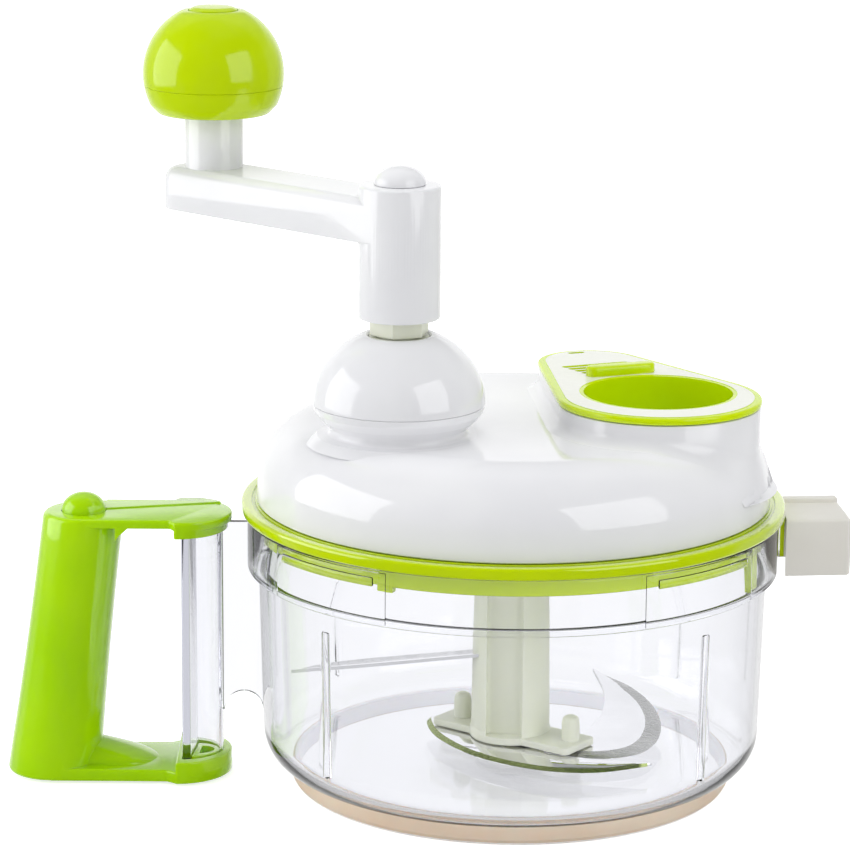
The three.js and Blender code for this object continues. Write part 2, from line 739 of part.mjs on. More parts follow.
// The half-round boss that fits inside the post's foot
function postBoss() {
  const flat = POST_FLAT_X + POST_WALL + SEAT;
  const z0 = HANDLE_BOTTOM + SOCKET_FLOOR - 0.5;
  const z1 = HANDLE_BOTTOM + SOCKET_DEPTH;
  const outer = prism(halfDisc(flat, BOSS_D_R - SEAT), z0, z1);
  const inner = prism(halfDisc(flat + BOSS_D_WALL, BOSS_D_R - SEAT - 2 * BOSS_D_WALL), z0 + 1, z1 + 1);
  return cut(outer, inner);
}

function handle() {
  const [x, r] = [GRIP_TOP_X, STEM_R + RUN];
  const depth = BUTTON_TRAVEL + STEM_LENGTH + SPRING_LENGTH + SEAT;
  const bore = disc(r, HANDLE_TOP - depth, HANDLE_TOP + 1, SMALL).translate([x, 0, 0]);
  const recessFloor = HANDLE_TOP - BUTTON_TRAVEL - SEAT;
  const recess = disc(BUTTON_R + RUN, recessFloor, HANDLE_TOP + 1, SMALL).translate([x, 0, 0]);
  const whole = join(gripColumn(), upperArm(), lowerArm());
  return join(cut(whole, postSpace(), bore, recess), postBoss());
}

// The domed push button on top of the grip, with its stem
function handleButton() {
  return revolve([
    [0, HANDLE_TOP - STEM_LENGTH],
    [STEM_R, HANDLE_TOP - STEM_LENGTH],
    [STEM_R, HANDLE_TOP],
    [BUTTON_R, HANDLE_TOP],
    ...domeArc(BUTTON_R, HANDLE_TOP + 0.6, BUTTON_H - 0.6),
  ]).translate([GRIP_TOP_X, 0, 0]);
}

// The return spring under the button: one wire along a helix
function buttonSpring() {
  const wire = SPRING_WIRE / 2;
  const rise = SPRING_LENGTH - SEAT - SPRING_WIRE;
  const bottom = HANDLE_TOP - STEM_LENGTH - SEAT - rise - wire;
  const helix = (turn) => {
    const angle = 2 * Math.PI * turn;
    return new THREE.Vector3(
      GRIP_TOP_X + SPRING_R * Math.cos(angle),
      SPRING_R * Math.sin(angle),
      bottom + rise * turn / SPRING_TURNS,
    );
  };
  const rings = [];
  const steps = SPRING_TURNS * SPRING_STEPS;
  for (let i = 0; i <= steps; i++) {
    const angle = 2 * Math.PI * i / SPRING_STEPS;
    const centre = helix(i / SPRING_STEPS);
    rings.push(Array.from({ length: SPRING_SIDES }, (_, k) => {
      const side = 2 * Math.PI * k / SPRING_SIDES;
      const reach = wire * Math.cos(side);
      return [
        centre.x + reach * Math.cos(angle),
        centre.y + reach * Math.sin(angle),
        centre.z + wire * Math.sin(side),
      ];
    }));
  }
  let least = Infinity;
  for (let i = 0; i <= steps; i++) {
    for (let j = i + SPRING_STEPS / 2; j <= steps; j++) {
      least = Math.min(least, helix(i / SPRING_STEPS).distanceTo(helix(j / SPRING_STEPS)));
    }
  }
  console.log('button spring: least gap to itself', (least - SPRING_WIRE).toFixed(2), 'mm');
  return loft(rings);
}

// Lock ring: a flat rim with a groove beside the dome, an inner skirt, lugs and a tab
function lockRing() {
  const bottom = RING_TOP - RING_H;
  const flangeBottom = RING_TOP - RING_FLANGE_H;
  const skirtInner = RING_SKIRT_R - RING_SKIRT_T;
  const groove = LID_R + 0.5;
  const rim = revolve([
    [RING_BORE, flangeBottom],
    [skirtInner, flangeBottom],
    [skirtInner, RING_SKIRT_BOTTOM],
    [RING_SKIRT_R, RING_SKIRT_BOTTOM],
    [RING_SKIRT_R, bottom],
    [RING_R, bottom],
    [RING_R, RING_TOP - 0.7],
    [RING_R - 0.7, RING_TOP],
    [groove + GROOVE_W, RING_TOP],
    [groove + GROOVE_W, RING_TOP - GROOVE_D],
    [groove, RING_TOP - GROOVE_D],
    [groove, RING_TOP],
    [RING_BORE, RING_TOP],
  ], FINE);
  const halfLug = THREE.MathUtils.radToDeg(LUG_W / 2 / RING_SKIRT_R);
  const lugs = LUG_ANGLES.map((a) => ringSector(
    skirtInner, RING_SKIRT_R, RIM_Z - LUG_DEPTH, RING_SKIRT_BOTTOM + 1, a - halfLug, a + halfLug,
  ));
  const tab = ringSector(
    RING_R - TAB_T, RING_R, RIM_Z - TAB_DEPTH, bottom + 1,
    GRIP_AZIMUTH - TAB_HALF_ANGLE, GRIP_AZIMUTH + TAB_HALF_ANGLE,
  );
  return join(rim, ...lugs, tab);
}

// Thumb grip: a hollow block whose inner face follows the ring, open underneath
function thumbGrip() {
  const half = THUMB_W / 2;
  const outline = (inset) => polygon([
    [THUMB_R0 - 6, -half + inset],
    [THUMB_R1 - inset - THUMB_CORNER, -half + inset],
    ...arc(THUMB_R1 - inset - THUMB_CORNER, -half + inset + THUMB_CORNER, THUMB_CORNER, -90, 0, 3),
    ...arc(THUMB_R1 - inset - THUMB_CORNER, half - inset - THUMB_CORNER, THUMB_CORNER, 0, 90, 3),
    [THUMB_R0 - 6, half - inset],
  ]);
  const body = prism(outline(0), THUMB_BOTTOM, THUMB_TOP);
  const hollow = cut(
    prism(outline(THUMB_WALL), THUMB_BOTTOM - 1, THUMB_TOP - THUMB_WALL),
    disc(THUMB_R0 + THUMB_WALL, THUMB_BOTTOM - 2, THUMB_TOP, FINE),
  );
  const lipTop = THUMB_TOP + THUMB_LIP_H;
  const lip = box(THUMB_R0 - 4, THUMB_R1 - 0.4, half - THUMB_LIP_W, half, THUMB_TOP - 1, lipTop);
  const round = disc(THUMB_R0, THUMB_BOTTOM - 2, THUMB_TOP + 5, FINE);
  return cut(join(cut(body, hollow), lip), round).rotate([0, 0, GRIP_AZIMUTH]);
}

// A place on the chute's long axis, and beside it on the clockwise side
const alongChute = (far, aside = 0) => {
  const [ux, uy] = chuteAxis;
  return [chutePlace[0] + ux * far + uy * aside, chutePlace[1] + uy * far - ux * aside];
};

// Outline of the chute and of what fits it: a teardrop, grown or shrunk by an offset
function chuteShape(offset) {
  const tilt = Math.asin((CHUTE_BIG_R - CHUTE_SMALL_R) / CHUTE_LENGTH) * 180 / Math.PI;
  const [x0, y0] = chutePlace;
  const [x1, y1] = alongChute(CHUTE_LENGTH);
  const from = CHUTE_AZIMUTH + 90 - tilt;
  const to = CHUTE_AZIMUTH + 270 + tilt;
  return [
    ...arc(x0, y0, CHUTE_BIG_R + offset, from, to, 13),
    ...arc(x1, y1, CHUTE_SMALL_R + offset, to - 360, from, 6),
  ];
}

// The chute below its tray floor: the teardrop less the room that the pinion needs
function chuteTube(offset, z0, z1) {
  const room = MODULE * (PINION_TEETH / 2 + 1) + 1.2 - offset;
  return prism(polygon(chuteShape(offset)), z0, z1).subtract(disc(room, z0 - 1, z1 + 1, SMALL));
}

const chuteRing = (offset, z) => chuteShape(offset).map(([x, y]) => [x, y, z]);

// Outside of the dome: straight rim, round shoulder, flat top
function domeProfile(inset, steps) {
  const rise = LID_RISE - LID_RIM_H;
  const points = [[LID_R - inset, LID_BOTTOM]];
  for (let i = 0; i <= steps; i++) {
    const angle = Math.PI / 2 * i / steps;
    points.push([
      LID_FLAT_R + (SHOULDER_W - RIM_DRAFT - inset) * Math.cos(angle),
      LID_BOTTOM + LID_RIM_H + (rise - inset) * Math.sin(angle),
    ]);
  }
  points.push([0, LID_TOP - inset]);
  return points;
}

// The housing on the lid that carries the crank, outside profile
function housingProfile() {
  const points = [[0, LID_TOP - 1], [HOUSING_FOOT_R, LID_TOP - 1]];
  const steps = 4;
  for (let i = 0; i <= steps; i++) {
    const t = i / steps;
    const r = HOUSING_FOOT_R + (HOUSING_R - HOUSING_FOOT_R) * Math.sin(Math.PI / 2 * t);
    points.push([r, LID_TOP + HOUSING_H * t]);
  }
  points.push([0, SEAM_Z]);
  return points;
}

// A solid repeated at each screw of the gear plate
const atScrews = (body) => SCREW_ANGLES.map((a) => body.translate([...polar(SCREW_CIRCLE, a), 0]));

function lidShell() {
  const dome = revolve([[0, LID_BOTTOM], ...domeProfile(0, 5)], FINE);
  const shell = cut(
    dome,
    revolve([[0, LID_BOTTOM - 1], [LID_R - LID_WALL, LID_BOTTOM - 1], ...domeProfile(LID_WALL, 3)], FINE),
  );
  const chuteWall = join(
    loft([chuteRing(0, CHUTE_FLOOR - CHUTE_WALL), chuteRing(0, CHUTE_TOP - 0.5), chuteRing(-0.5, CHUTE_TOP)]),
    loft([
      chuteRing(CHUTE_FLARE, CHUTE_FLOOR),
      chuteRing(CHUTE_FLARE, LID_TOP - FLARE_RISE),
      chuteRing(CHUTE_FLARE / 3, LID_TOP + FLARE_RISE / 4),
      chuteRing(0, LID_TOP + FLARE_RISE),
    ]),
  );
  const above = chuteWall.intersect(join(dome, disc(LID_R - 0.4, LID_BOTTOM + 12, CHUTE_TOP, FINE)));
  const chute = join(above, chuteTube(0, LID_BOTTOM, CHUTE_FLOOR));
  const tray = prism(polygon(chuteShape(-CHUTE_WALL)), CHUTE_FLOOR, CHUTE_TOP + 1);
  const chuteBore = join(tray, chuteTube(-CHUTE_WALL, LID_BOTTOM - 1, CHUTE_FLOOR + 0.5));
  const [cx, cy] = crankPlace;
  const housing = revolve(housingProfile()).translate([cx, cy, 0]);
  const bearing = disc(BUSHING_R + BEARING_WALL, BUSHING_BOTTOM, LID_TOP).translate([cx, cy, 0]);
  const bushingBore = disc(BUSHING_R + SEAT, LID_BOTTOM, SEAM_Z + 1).translate([cx, cy, 0]);
  const spigotFloor = SEAM_Z - SPIGOT_H - SEAT;
  const spigotSpace = tube(BUSHING_R + BEARING_WALL + 1.6, SPIGOT_R + SEAT, spigotFloor, SEAM_Z + 1);
  const pinionBoss = disc(PINION_PIN_R + RUN + PIVOT_BOSS_WALL, GEAR_Z + GEAR_T + 2, LID_TOP - 1, SMALL);
  const pinionBore = disc(PINION_PIN_R + RUN, LID_BOTTOM, PINION_PIN_TOP + SEAT, SMALL);
  const bosses = atScrews(disc(BOSS_R, LID_BOTTOM, LID_TOP, SCREW_SIDES)).map((boss) => boss.intersect(dome));
  const screwHoles = atScrews(disc(SCREW_R + SEAT, LID_BOTTOM - 1, LID_BOTTOM + SCREW_LENGTH, SCREW_SIDES));
  const whole = join(shell, chute, housing, bearing, pinionBoss, ...bosses);
  return cut(whole, chuteBore, bushingBore, spigotSpace.translate([cx, cy, 0]), pinionBore, ...screwHoles);
}

// The rounded cover over the crank's bearing, with a spigot that plugs into the housing
function gearCover() {
  const hole = BUSHING_R + SEAT;
  const bottom = SEAM_Z + SEAT;
  const height = COVER_TOP_Z - bottom;
  const outer = [];
  const inner = [];
  const steps = 4;
  const last = Math.acos(COVER_TOP_R / HOUSING_R);
  for (let i = 0; i <= steps; i++) {
    const angle = last * i / steps;
    const share = Math.sin(angle) / Math.sin(last);
    outer.push([HOUSING_R * Math.cos(angle), bottom + height * share]);
    inner.push([(HOUSING_R - COVER_WALL) * Math.cos(angle), bottom + (height - COVER_WALL) * share]);
  }
  const shell = revolve([
    [SPIGOT_R - SPIGOT_WALL, SEAM_Z - SPIGOT_H],
    [SPIGOT_R, SEAM_Z - SPIGOT_H],
    [SPIGOT_R, bottom],
    ...outer,
    [hole, COVER_TOP_Z],
    [hole, COVER_TOP_Z - COVER_WALL],
    ...inner.reverse().slice(0, -1),
    [SPIGOT_R - SPIGOT_WALL, bottom + 2],
  ]);
  return shell.translate([...crankPlace, 0]);
}

function crankBushing() {
  return tube(SHAFT_R + RUN, BUSHING_R, BUSHING_BOTTOM, COVER_TOP_Z - SEAT).translate([...crankPlace, 0]);
}

// The crank shaft: hexagon in the gear, round in the bushing, collar, hexagon in the hub
function crankShaft() {
  const collarBottom = COVER_TOP_Z + SEAT;
  const collarTop = collarBottom + COLLAR_H;
  const driveTop = HUB_BOTTOM + DRIVE_LENGTH;
  const gearEnd = prism(hexagon(GEAR_END_R), GEAR_Z - 0.6, BUSHING_BOTTOM - 1);
  const journal = disc(SHAFT_R, GEAR_Z + GEAR_T + SEAT, collarBottom + 0.5);
  const collar = prism(hexagon(COLLAR_R), collarBottom, collarTop);
  const drive = prism(hexagon(DRIVE_R), collarTop - 0.5, driveTop);
  const topHole = disc(PILOT_R, driveTop - PILOT_DEPTH, driveTop + 1, SCREW_SIDES);
  const bottomHole = disc(PILOT_R, GEAR_Z - 2, GEAR_Z + PILOT_DEPTH - 3, SCREW_SIDES);
  return cut(join(gearEnd, journal, collar, drive), topHole, bottomHole)
    .rotate([0, 0, ARM_AZIMUTH])
    .translate([...crankPlace, 0]);
}

// A spur gear outline: straight-flanked teeth, narrower at the tip
function gearShape(teeth, phase) {
  const pitch = MODULE * teeth / 2;
  const root = pitch - DEDENDUM * MODULE;
  const tip = pitch + ADDENDUM * MODULE;
  const step = 360 / teeth;
  const play = THREE.MathUtils.radToDeg(BACKLASH / 2 / pitch);
  const points = [];
  for (let i = 0; i < teeth; i++) {
    const middle = phase + i * step;
    for (const [r, half] of [[root, -ROOT_HALF], [tip, -TIP_HALF], [tip, TIP_HALF], [root, ROOT_HALF]]) {
      points.push(polar(r, middle + half * step - Math.sign(half) * play / 2));
    }
  }
  return polygon(points);
}

// The line of centres meets a tooth of the crank gear and a gap of the pinion
function crankGear() {
  const top = GEAR_Z + GEAR_T;
  const web = GEAR_Z + GEAR_WEB;
  const gear = prism(gearShape(CRANK_TEETH, CRANK_AZIMUTH + 180), GEAR_Z, top);
  const bore = prism(hexagon(GEAR_END_R + SEAT), GEAR_Z - 1, top + 1).rotate([0, 0, ARM_AZIMUTH]);
  const ring = tube(GEAR_HUB_R, GEAR_RIM_R, web, top + 1);
  const spoke = box(GEAR_HUB_R - 1, GEAR_RIM_R + 1, -SPOKE_W / 2, SPOKE_W / 2, web, top);
  const spokes = join(...Array.from({ length: SPOKES }, (_, i) => spoke.rotate([0, 0, 360 * i / SPOKES])));
  return join(cut(gear, bore, ring), spokes).translate([...crankPlace, 0]);
}

function crankGearScrew() {
  const head = disc(9, PLATE_BOTTOM + PLATE_T + SEAT, GEAR_Z - 0.6 - SEAT, SMALL);
  const shank = disc(1.6, GEAR_Z - 1, GEAR_Z + 7, SCREW_SIDES);
  return join(head, shank).translate([...crankPlace, 0]);
}

// Pinion on the bowl's axis, with its top pin, its journal and the hexagon that drives the blades
function pinion() {
  const phase = CRANK_AZIMUTH + 180 / PINION_TEETH;
  return join(
    prism(gearShape(PINION_TEETH, phase), GEAR_Z, GEAR_Z + GEAR_T),
    disc(PINION_PIN_R + 2, GEAR_Z + GEAR_T - 0.5, GEAR_Z + GEAR_T + 1.6, SMALL),
    disc(PINION_PIN_R, GEAR_Z + GEAR_T, PINION_PIN_TOP, SMALL),
    disc(JOURNAL_R + 2, PLATE_BOTTOM + PLATE_T + SEAT, GEAR_Z + 0.5, SMALL),
    disc(JOURNAL_R, PLATE_BOTTOM - 1, GEAR_Z, SMALL),
    prism(hexagon(DRIVE_HEX_R), DRIVE_HEX_BOTTOM, PLATE_BOTTOM),
  );
}

// The plate that closes the lid under the gears, open under the chute
function gearPlate() {
  const lipTop = PLATE_BOTTOM + PLATE_LIP_T;
  const top = PLATE_BOTTOM + PLATE_T;
  const wallR = PLATE_R - PLATE_RIM_T;
  const profile = [
    [0, PLATE_BOTTOM],
    [PLATE_LIP_R, PLATE_BOTTOM],
    [PLATE_LIP_R, lipTop],
    [PLATE_R, lipTop],
    [PLATE_R, LID_BOTTOM - SEAT],
    [wallR, LID_BOTTOM - SEAT],
    [wallR, top],
    [0, top],
  ];
  const post = disc(BOSS_R + POST_W, PLATE_BOTTOM, LID_BOTTOM - SEAT, SCREW_SIDES);
  const hole = disc(SCREW_R + SEAT, PLATE_BOTTOM - 1, LID_BOTTOM + 1, SCREW_SIDES);
  const sink = disc(SCREW_HEAD_R + SEAT, PLATE_BOTTOM - 1, PLATE_BOTTOM + SCREW_HEAD_T + SEAT, SCREW_SIDES);
  const journal = disc(JOURNAL_R + RUN, PLATE_BOTTOM - 1, top + 1);
  const wall = chuteTube(-SEAT, PLATE_BOTTOM, LID_BOTTOM - SEAT)
    .intersect(disc(PLATE_R, PLATE_BOTTOM, LID_BOTTOM, FINE));
  const chute = chuteTube(-CHUTE_WALL, PLATE_BOTTOM - 1, LID_BOTTOM);
  const whole = join(revolve(profile, FINE), wall, ...atScrews(post));
  return cut(whole, chute, journal, ...atScrews(hole), ...atScrews(sink));
}

function plateScrew(azimuth) {
  const head = disc(SCREW_HEAD_R, PLATE_BOTTOM, PLATE_BOTTOM + SCREW_HEAD_T, SCREW_SIDES);
  const shank = disc(SCREW_R, PLATE_BOTTOM + 0.5, LID_BOTTOM + SCREW_LENGTH - 1, SCREW_SIDES);
  return join(head, shank).translate([...polar(SCREW_CIRCLE, azimuth), 0]);
}

// The crank: hub, flat arm with rounded upper edges, and the spindle for the knob
function crankArm() {
  const armBottom = CRANK_ARM_TOP - CRANK_ARM_H;
  const half = CRANK_ARM_W / 2;
  const ring = (inset, z) => [
    ...arc(0, 0, half - inset, 90, 270, 8),
    ...arc(ARM_LENGTH, 0, half - inset, -90, 90, 8),
  ].map(([x, y]) => [x, y, z]);
  const bevel = CRANK_ARM_BEVEL;
  const round = [0, 30, 60, 90].map((a) => {
    const angle = rad(a);
    return ring(bevel * (1 - Math.cos(angle)), CRANK_ARM_TOP - bevel * (1 - Math.sin(angle)));
  });
  const arm = loft([ring(0.6, armBottom), ring(0, armBottom + 0.6), ...round]);
  const hub = revolve([
    [0, HUB_BOTTOM],
    [HUB_R - 0.8, HUB_BOTTOM],
    [HUB_R, HUB_BOTTOM + 0.8],
    [HUB_R, HUB_TOP - 0.6],
    [HUB_R - 0.6, HUB_TOP],
    [0, HUB_TOP],
  ]);
  const spindleTop = KNOB_BOTTOM - SEAT;
  const spindle = revolve([
    [0, armBottom + 2],
    [SPINDLE_R, armBottom + 2],
    [SPINDLE_R, spindleTop - 0.6],
    [SPINDLE_R - 0.6, spindleTop],
    [AXLE_R, spindleTop],
    [AXLE_R, AXLE_TOP],
    [0, AXLE_TOP],
  ]).translate([ARM_LENGTH, 0, 0]);
  const pilot = disc(PILOT_R, AXLE_TOP - PILOT_DEPTH, AXLE_TOP + 1, SCREW_SIDES);
  const axleHole = pilot.translate([ARM_LENGTH, 0, 0]);
  const driveTop = HUB_BOTTOM + DRIVE_LENGTH;
  const drive = prism(hexagon(DRIVE_R + SEAT), HUB_BOTTOM - 1, driveTop + SEAT);
  const screwSpace = disc(PILOT_R + SEAT, driveTop, HUB_TOP + 1, SCREW_SIDES);
  const headSpace = disc(CRANK_CAP_R - CRANK_CAP_LEDGE, driveTop + CRANK_SCREW_WEB, HUB_TOP + 1, SMALL);
  const whole = cut(join(hub, arm, spindle), axleHole, drive, screwSpace, headSpace);
  return whole.rotate([0, 0, ARM_AZIMUTH]).translate([...crankPlace, 0]);
}

// The screw that holds the crank on its shaft, deep in the hub
function crankScrew() {
  const seat = HUB_BOTTOM + DRIVE_LENGTH + CRANK_SCREW_WEB + SEAT;
  return join(
    disc(4.6, seat, seat + 3, SMALL),
    disc(1.6, seat - 15, seat + 0.5, SCREW_SIDES),
  ).translate([...crankPlace, 0]);
}

function crankCap() {
  const plugR = CRANK_CAP_R - CRANK_CAP_LEDGE - SEAT;
  const bottom = HUB_TOP + SEAT;
  return revolve([
    [0, HUB_TOP - 4],
    [plugR, HUB_TOP - 4],
    [plugR, bottom],
    [CRANK_CAP_R, bottom],
    ...domeArc(CRANK_CAP_R, bottom + 0.5, CRANK_CAP_H - 0.5),
  ]).translate([...crankPlace, 0]);
}

const knobPlace = () => {
  const [dx, dy] = polar(ARM_LENGTH, ARM_AZIMUTH);
  return [crankPlace[0] + dx, crankPlace[1] + dy, 0];
};

// Radius of the ball at a height
const ball = (z) => Math.sqrt(Math.max(0, KNOB_R * KNOB_R - (z - KNOB_CENTRE) * (z - KNOB_CENTRE)));

function ballProfile(z0, z1, steps) {
  const points = [];
  for (let i = 0; i <= steps; i++) {
    const a0 = Math.asin((z0 - KNOB_CENTRE) / KNOB_R);
    const a1 = Math.asin((z1 - KNOB_CENTRE) / KNOB_R);
    const z = KNOB_CENTRE + KNOB_R * Math.sin(a0 + (a1 - a0) * i / steps);
    points.push([ball(z), z]);
  }
  return points;
}

function knobLower() {
  return revolve([
    [AXLE_R + RUN, KNOB_BOTTOM],
    [ball(KNOB_BOTTOM + 1) - 1.2, KNOB_BOTTOM],
    ...ballProfile(KNOB_BOTTOM + 1, KNOB_SEAM - SEAT, 3),
    [AXLE_R + RUN, KNOB_SEAM - SEAT],
  ]).translate(knobPlace());
}

function knobUpper() {
  const seat = AXLE_TOP + SEAT;
  return revolve([
    [AXLE_R + RUN, KNOB_SEAM],
    ...ballProfile(KNOB_SEAM, KNOB_TOP, 6),
    [KNOB_CAP_R + SEAT, KNOB_TOP],
    [KNOB_CAP_R + SEAT, seat - 2],
    [AXLE_R + RUN, seat - 2],
  ]).translate(knobPlace());
}

function knobCap() {
  return revolve([
    [0, KNOB_TOP - KNOB_CAP_T],
    [KNOB_CAP_R, KNOB_TOP - KNOB_CAP_T],
    [KNOB_CAP_R, KNOB_TOP + 0.2],
    [KNOB_CAP_R - 0.8, KNOB_TOP + 0.9],
    [0, KNOB_TOP + 1.5],
  ]).translate(knobPlace());
}

// The screw and washer that keep the knob on its axle
function knobScrew() {
  const seat = AXLE_TOP + SEAT;
  return join(
    disc(KNOB_CAP_R - 0.8, seat, seat + 1.2, SMALL),
    disc(4, seat + 1, seat + 3.2, SMALL),
    disc(1.6, seat - 10, seat + 0.5, SCREW_SIDES),
  ).translate(knobPlace());
}

// The plastic shaft that carries the blades: tapered column, two wings and a blade slot
function bladeShaft() {
  const column = revolve([
    [0, BLADE_SHAFT_BOTTOM],
    [BLADE_SHAFT_R0 + 0.6, BLADE_SHAFT_BOTTOM],
    [BLADE_SHAFT_R0 + 0.6, BLADE_SHAFT_BOTTOM + WING_T],
    [BLADE_SHAFT_R0, BLADE_SHAFT_BOTTOM + WING_T + 1],
    [BLADE_SHAFT_R1, BLADE_SHAFT_TOP - 1],
    [BLADE_SHAFT_R1 - 1, BLADE_SHAFT_TOP],
    [0, BLADE_SHAFT_TOP],
  ]);
  const corner = WING_CORNER;
  const half = WING_W / 2;
  const wingTop = BLADE_SHAFT_BOTTOM + WING_T;
  const wing = polygon([
    [0, -half],
    ...arc(WING_REACH - corner, -half + corner, corner, -90, 0, 3),
    ...arc(WING_REACH - corner, half - corner, corner, 0, 90, 3),
    [0, half],
  ]);
  const halfPlate = prism(wing, BLADE_SHAFT_BOTTOM, wingTop);
  const wings = [0, 180].map((a) => halfPlate.rotate([0, 0, WING_AZIMUTH + a]));
  const studHoles = [0, 180].map((a) => disc(STUD_R + SEAT, BLADE_SHAFT_BOTTOM - 1, wingTop + 1, SMALL)
    .translate([...polar(STUD_RADIUS, WING_AZIMUTH + a), 0]));
  const grooveHalf = SHAFT_GROOVE_W / 2;
  const groove = box(
    SHAFT_GROOVE_FLOOR, 2 * BLADE_SHAFT_R0, -grooveHalf, grooveHalf, wingTop, BLADE_SHAFT_TOP + 1,
  );
  const grooves = [0, 180].map((a) => groove.rotate([0, 0, GROOVE_AZIMUTH + a]));
  const pinBore = disc(PIN_R + RUN, BLADE_SHAFT_BOTTOM - 1, PIN_TOP + SEAT, SMALL);
  const driveBore = prism(hexagon(DRIVE_HEX_R + SEAT + 0.2), DRIVE_HEX_BOTTOM - SEAT, BLADE_SHAFT_TOP + 1);
  return cut(join(cut(column, ...grooves), ...wings), ...studHoles, pinBore, driveBore, upperBladeSlot());
}

// The plate under the lower blades, whose studs pass through the blades and wings
function bladeRetainer() {
  const top = RETAINER_BOTTOM + RETAINER_T;
  const bar = roundBar(2 * STUD_RADIUS + RETAINER_W, RETAINER_W);
  const plate = join(
    prism(bar, RETAINER_BOTTOM, top).rotate([0, 0, WING_AZIMUTH]),
    disc(RETAINER_R, RETAINER_BOTTOM, top, ROUND),
  );
  const stud = revolve([
    [0, top - 0.5],
    [STUD_R, top - 0.5],
    [STUD_R, STUD_TOP - 2],
    [STUD_R * 0.75, STUD_TOP - 0.6],
    [0, STUD_TOP],
  ], SMALL);
  const studs = [0, 180].map((a) => stud.translate([...polar(STUD_RADIUS, WING_AZIMUTH + a), 0]));
  const pinBore = disc(PIN_BOSS_R + RUN, RETAINER_BOTTOM - 1, top + 1, SMALL);
  return cut(join(plate, ...studs), pinBore);
}

// A blade outline, scaled by a reach, from an outer and an inner edge: both are smooth
// curves, and they share the tip
function bladeShape(reach, root, outer, inner) {
  const vectors = (points) => points.map(([x, y]) => new THREE.Vector2(x, y).multiplyScalar(reach));
  const shape = new THREE.Shape();
  const [start, heel] = vectors([root, outer[0]]);
  shape.moveTo(start.x, start.y);
  shape.lineTo(heel.x, heel.y);
  shape.splineThru(vectors(outer.slice(1)));
  shape.splineThru(vectors(inner));
  return shape;
}

function studHole(azimuth) {
  return disc(STUD_R + SEAT, BLADE_Z - 3, BLADE_Z + 4, SMALL).translate([...polar(STUD_RADIUS, azimuth), 0]);
}

// The long lower blade: from its stud round the front, with its edge outwards
function frontBlade() {
  const shape = bladeShape(
    FRONT_BLADE_REACH,
    [-0.46, 0.395],
    [[-0.518, 0.294], [-0.441, -0.037], [-0.193, -0.404], [0.165, -0.634], [0.515, -0.671], [0.846, -0.533]],
    [
      [0.478, -0.478], [0.184, -0.395], [-0.037, -0.248], [-0.165, 0], [-0.202, 0.239],
      [-0.312, 0.395], [-0.46, 0.395],
    ],
  );
  return cut(prism(shape, BLADE_Z, BLADE_Z + BLADE_T, 4), studHole(WING_AZIMUTH));
}

// The short lower blade: a sickle that rises towards its tip at the back
function rearBlade() {
  const shape = bladeShape(
    REAR_BLADE_REACH,
    [0.17, -0.248],
    [
      [0.31, -0.31], [0.495, -0.341], [0.681, -0.232], [0.789, 0.062], [0.782, 0.372],
      [0.666, 0.666], [0.469, 0.882],
    ],
    [[0.511, 0.619], [0.511, 0.402], [0.449, 0.155], [0.325, -0.062], [0.217, -0.124], [0.17, -0.248]],
  );
  const sheet = prism(shape, 0, BLADE_T, 4);
  const [hx, hy] = polar(STUD_RADIUS, WING_AZIMUTH + 180);
  const hinge = hy + WING_W / 2 + 3;
  const knife = box(-80, 80, hinge, 90, -5, 10);
  const flat = sheet.intersect(knife).translate([0, -hinge, 0]);
  const far = flat.rotate([REAR_BLADE_RISE, 0, 0]).translate([0, hinge, 0]);
  const bent = join(cut(sheet, knife), far, bendFill(shape, hinge));
  return cut(bent.translate([0, 0, BLADE_Z]), studHole(WING_AZIMUTH + 180));
}

// The few tenths of material that close the outside of the bend
function bendFill(shape, hinge) {
  const sheet = prism(shape, -0.02, BLADE_T, 4);
  return sheet.intersect(box(-80, 80, hinge - 0.05, hinge + 0.05, -1, BLADE_T + 0.02));
}

// The upper blade, and the slot that its root fills in the shaft
function upperBladeSheet(grow) {
  const reach = UPPER_BLADE_REACH;
  const half = (UPPER_BLADE_HALF_W + grow) / reach;
  const root = (UPPER_BLADE_ROOT - grow) / reach;
  const shape = bladeShape(
    reach,
    [root, -half],
    [[0.3, -half], [0.52, -1.06 * half], [0.74, -half], [0.9, -0.42 * half], [1, 0.83 * half]],
    [[0.9, 0.86 * half], [0.74, half], [0.52, half], [0.3, half], [root, half]],
  );
  const thick = BLADE_T + 2 * grow;
  return prism(shape, -thick / 2, thick / 2, 4)
    .rotate([0, UPPER_BLADE_DROOP, 0])
    .rotate([0, 0, UPPER_BLADE_AZIMUTH])
    .translate([0, 0, UPPER_BLADE_Z]);
}

const upperBlade = () => upperBladeSheet(0);
const upperBladeSlot = () => upperBladeSheet(SEAT);

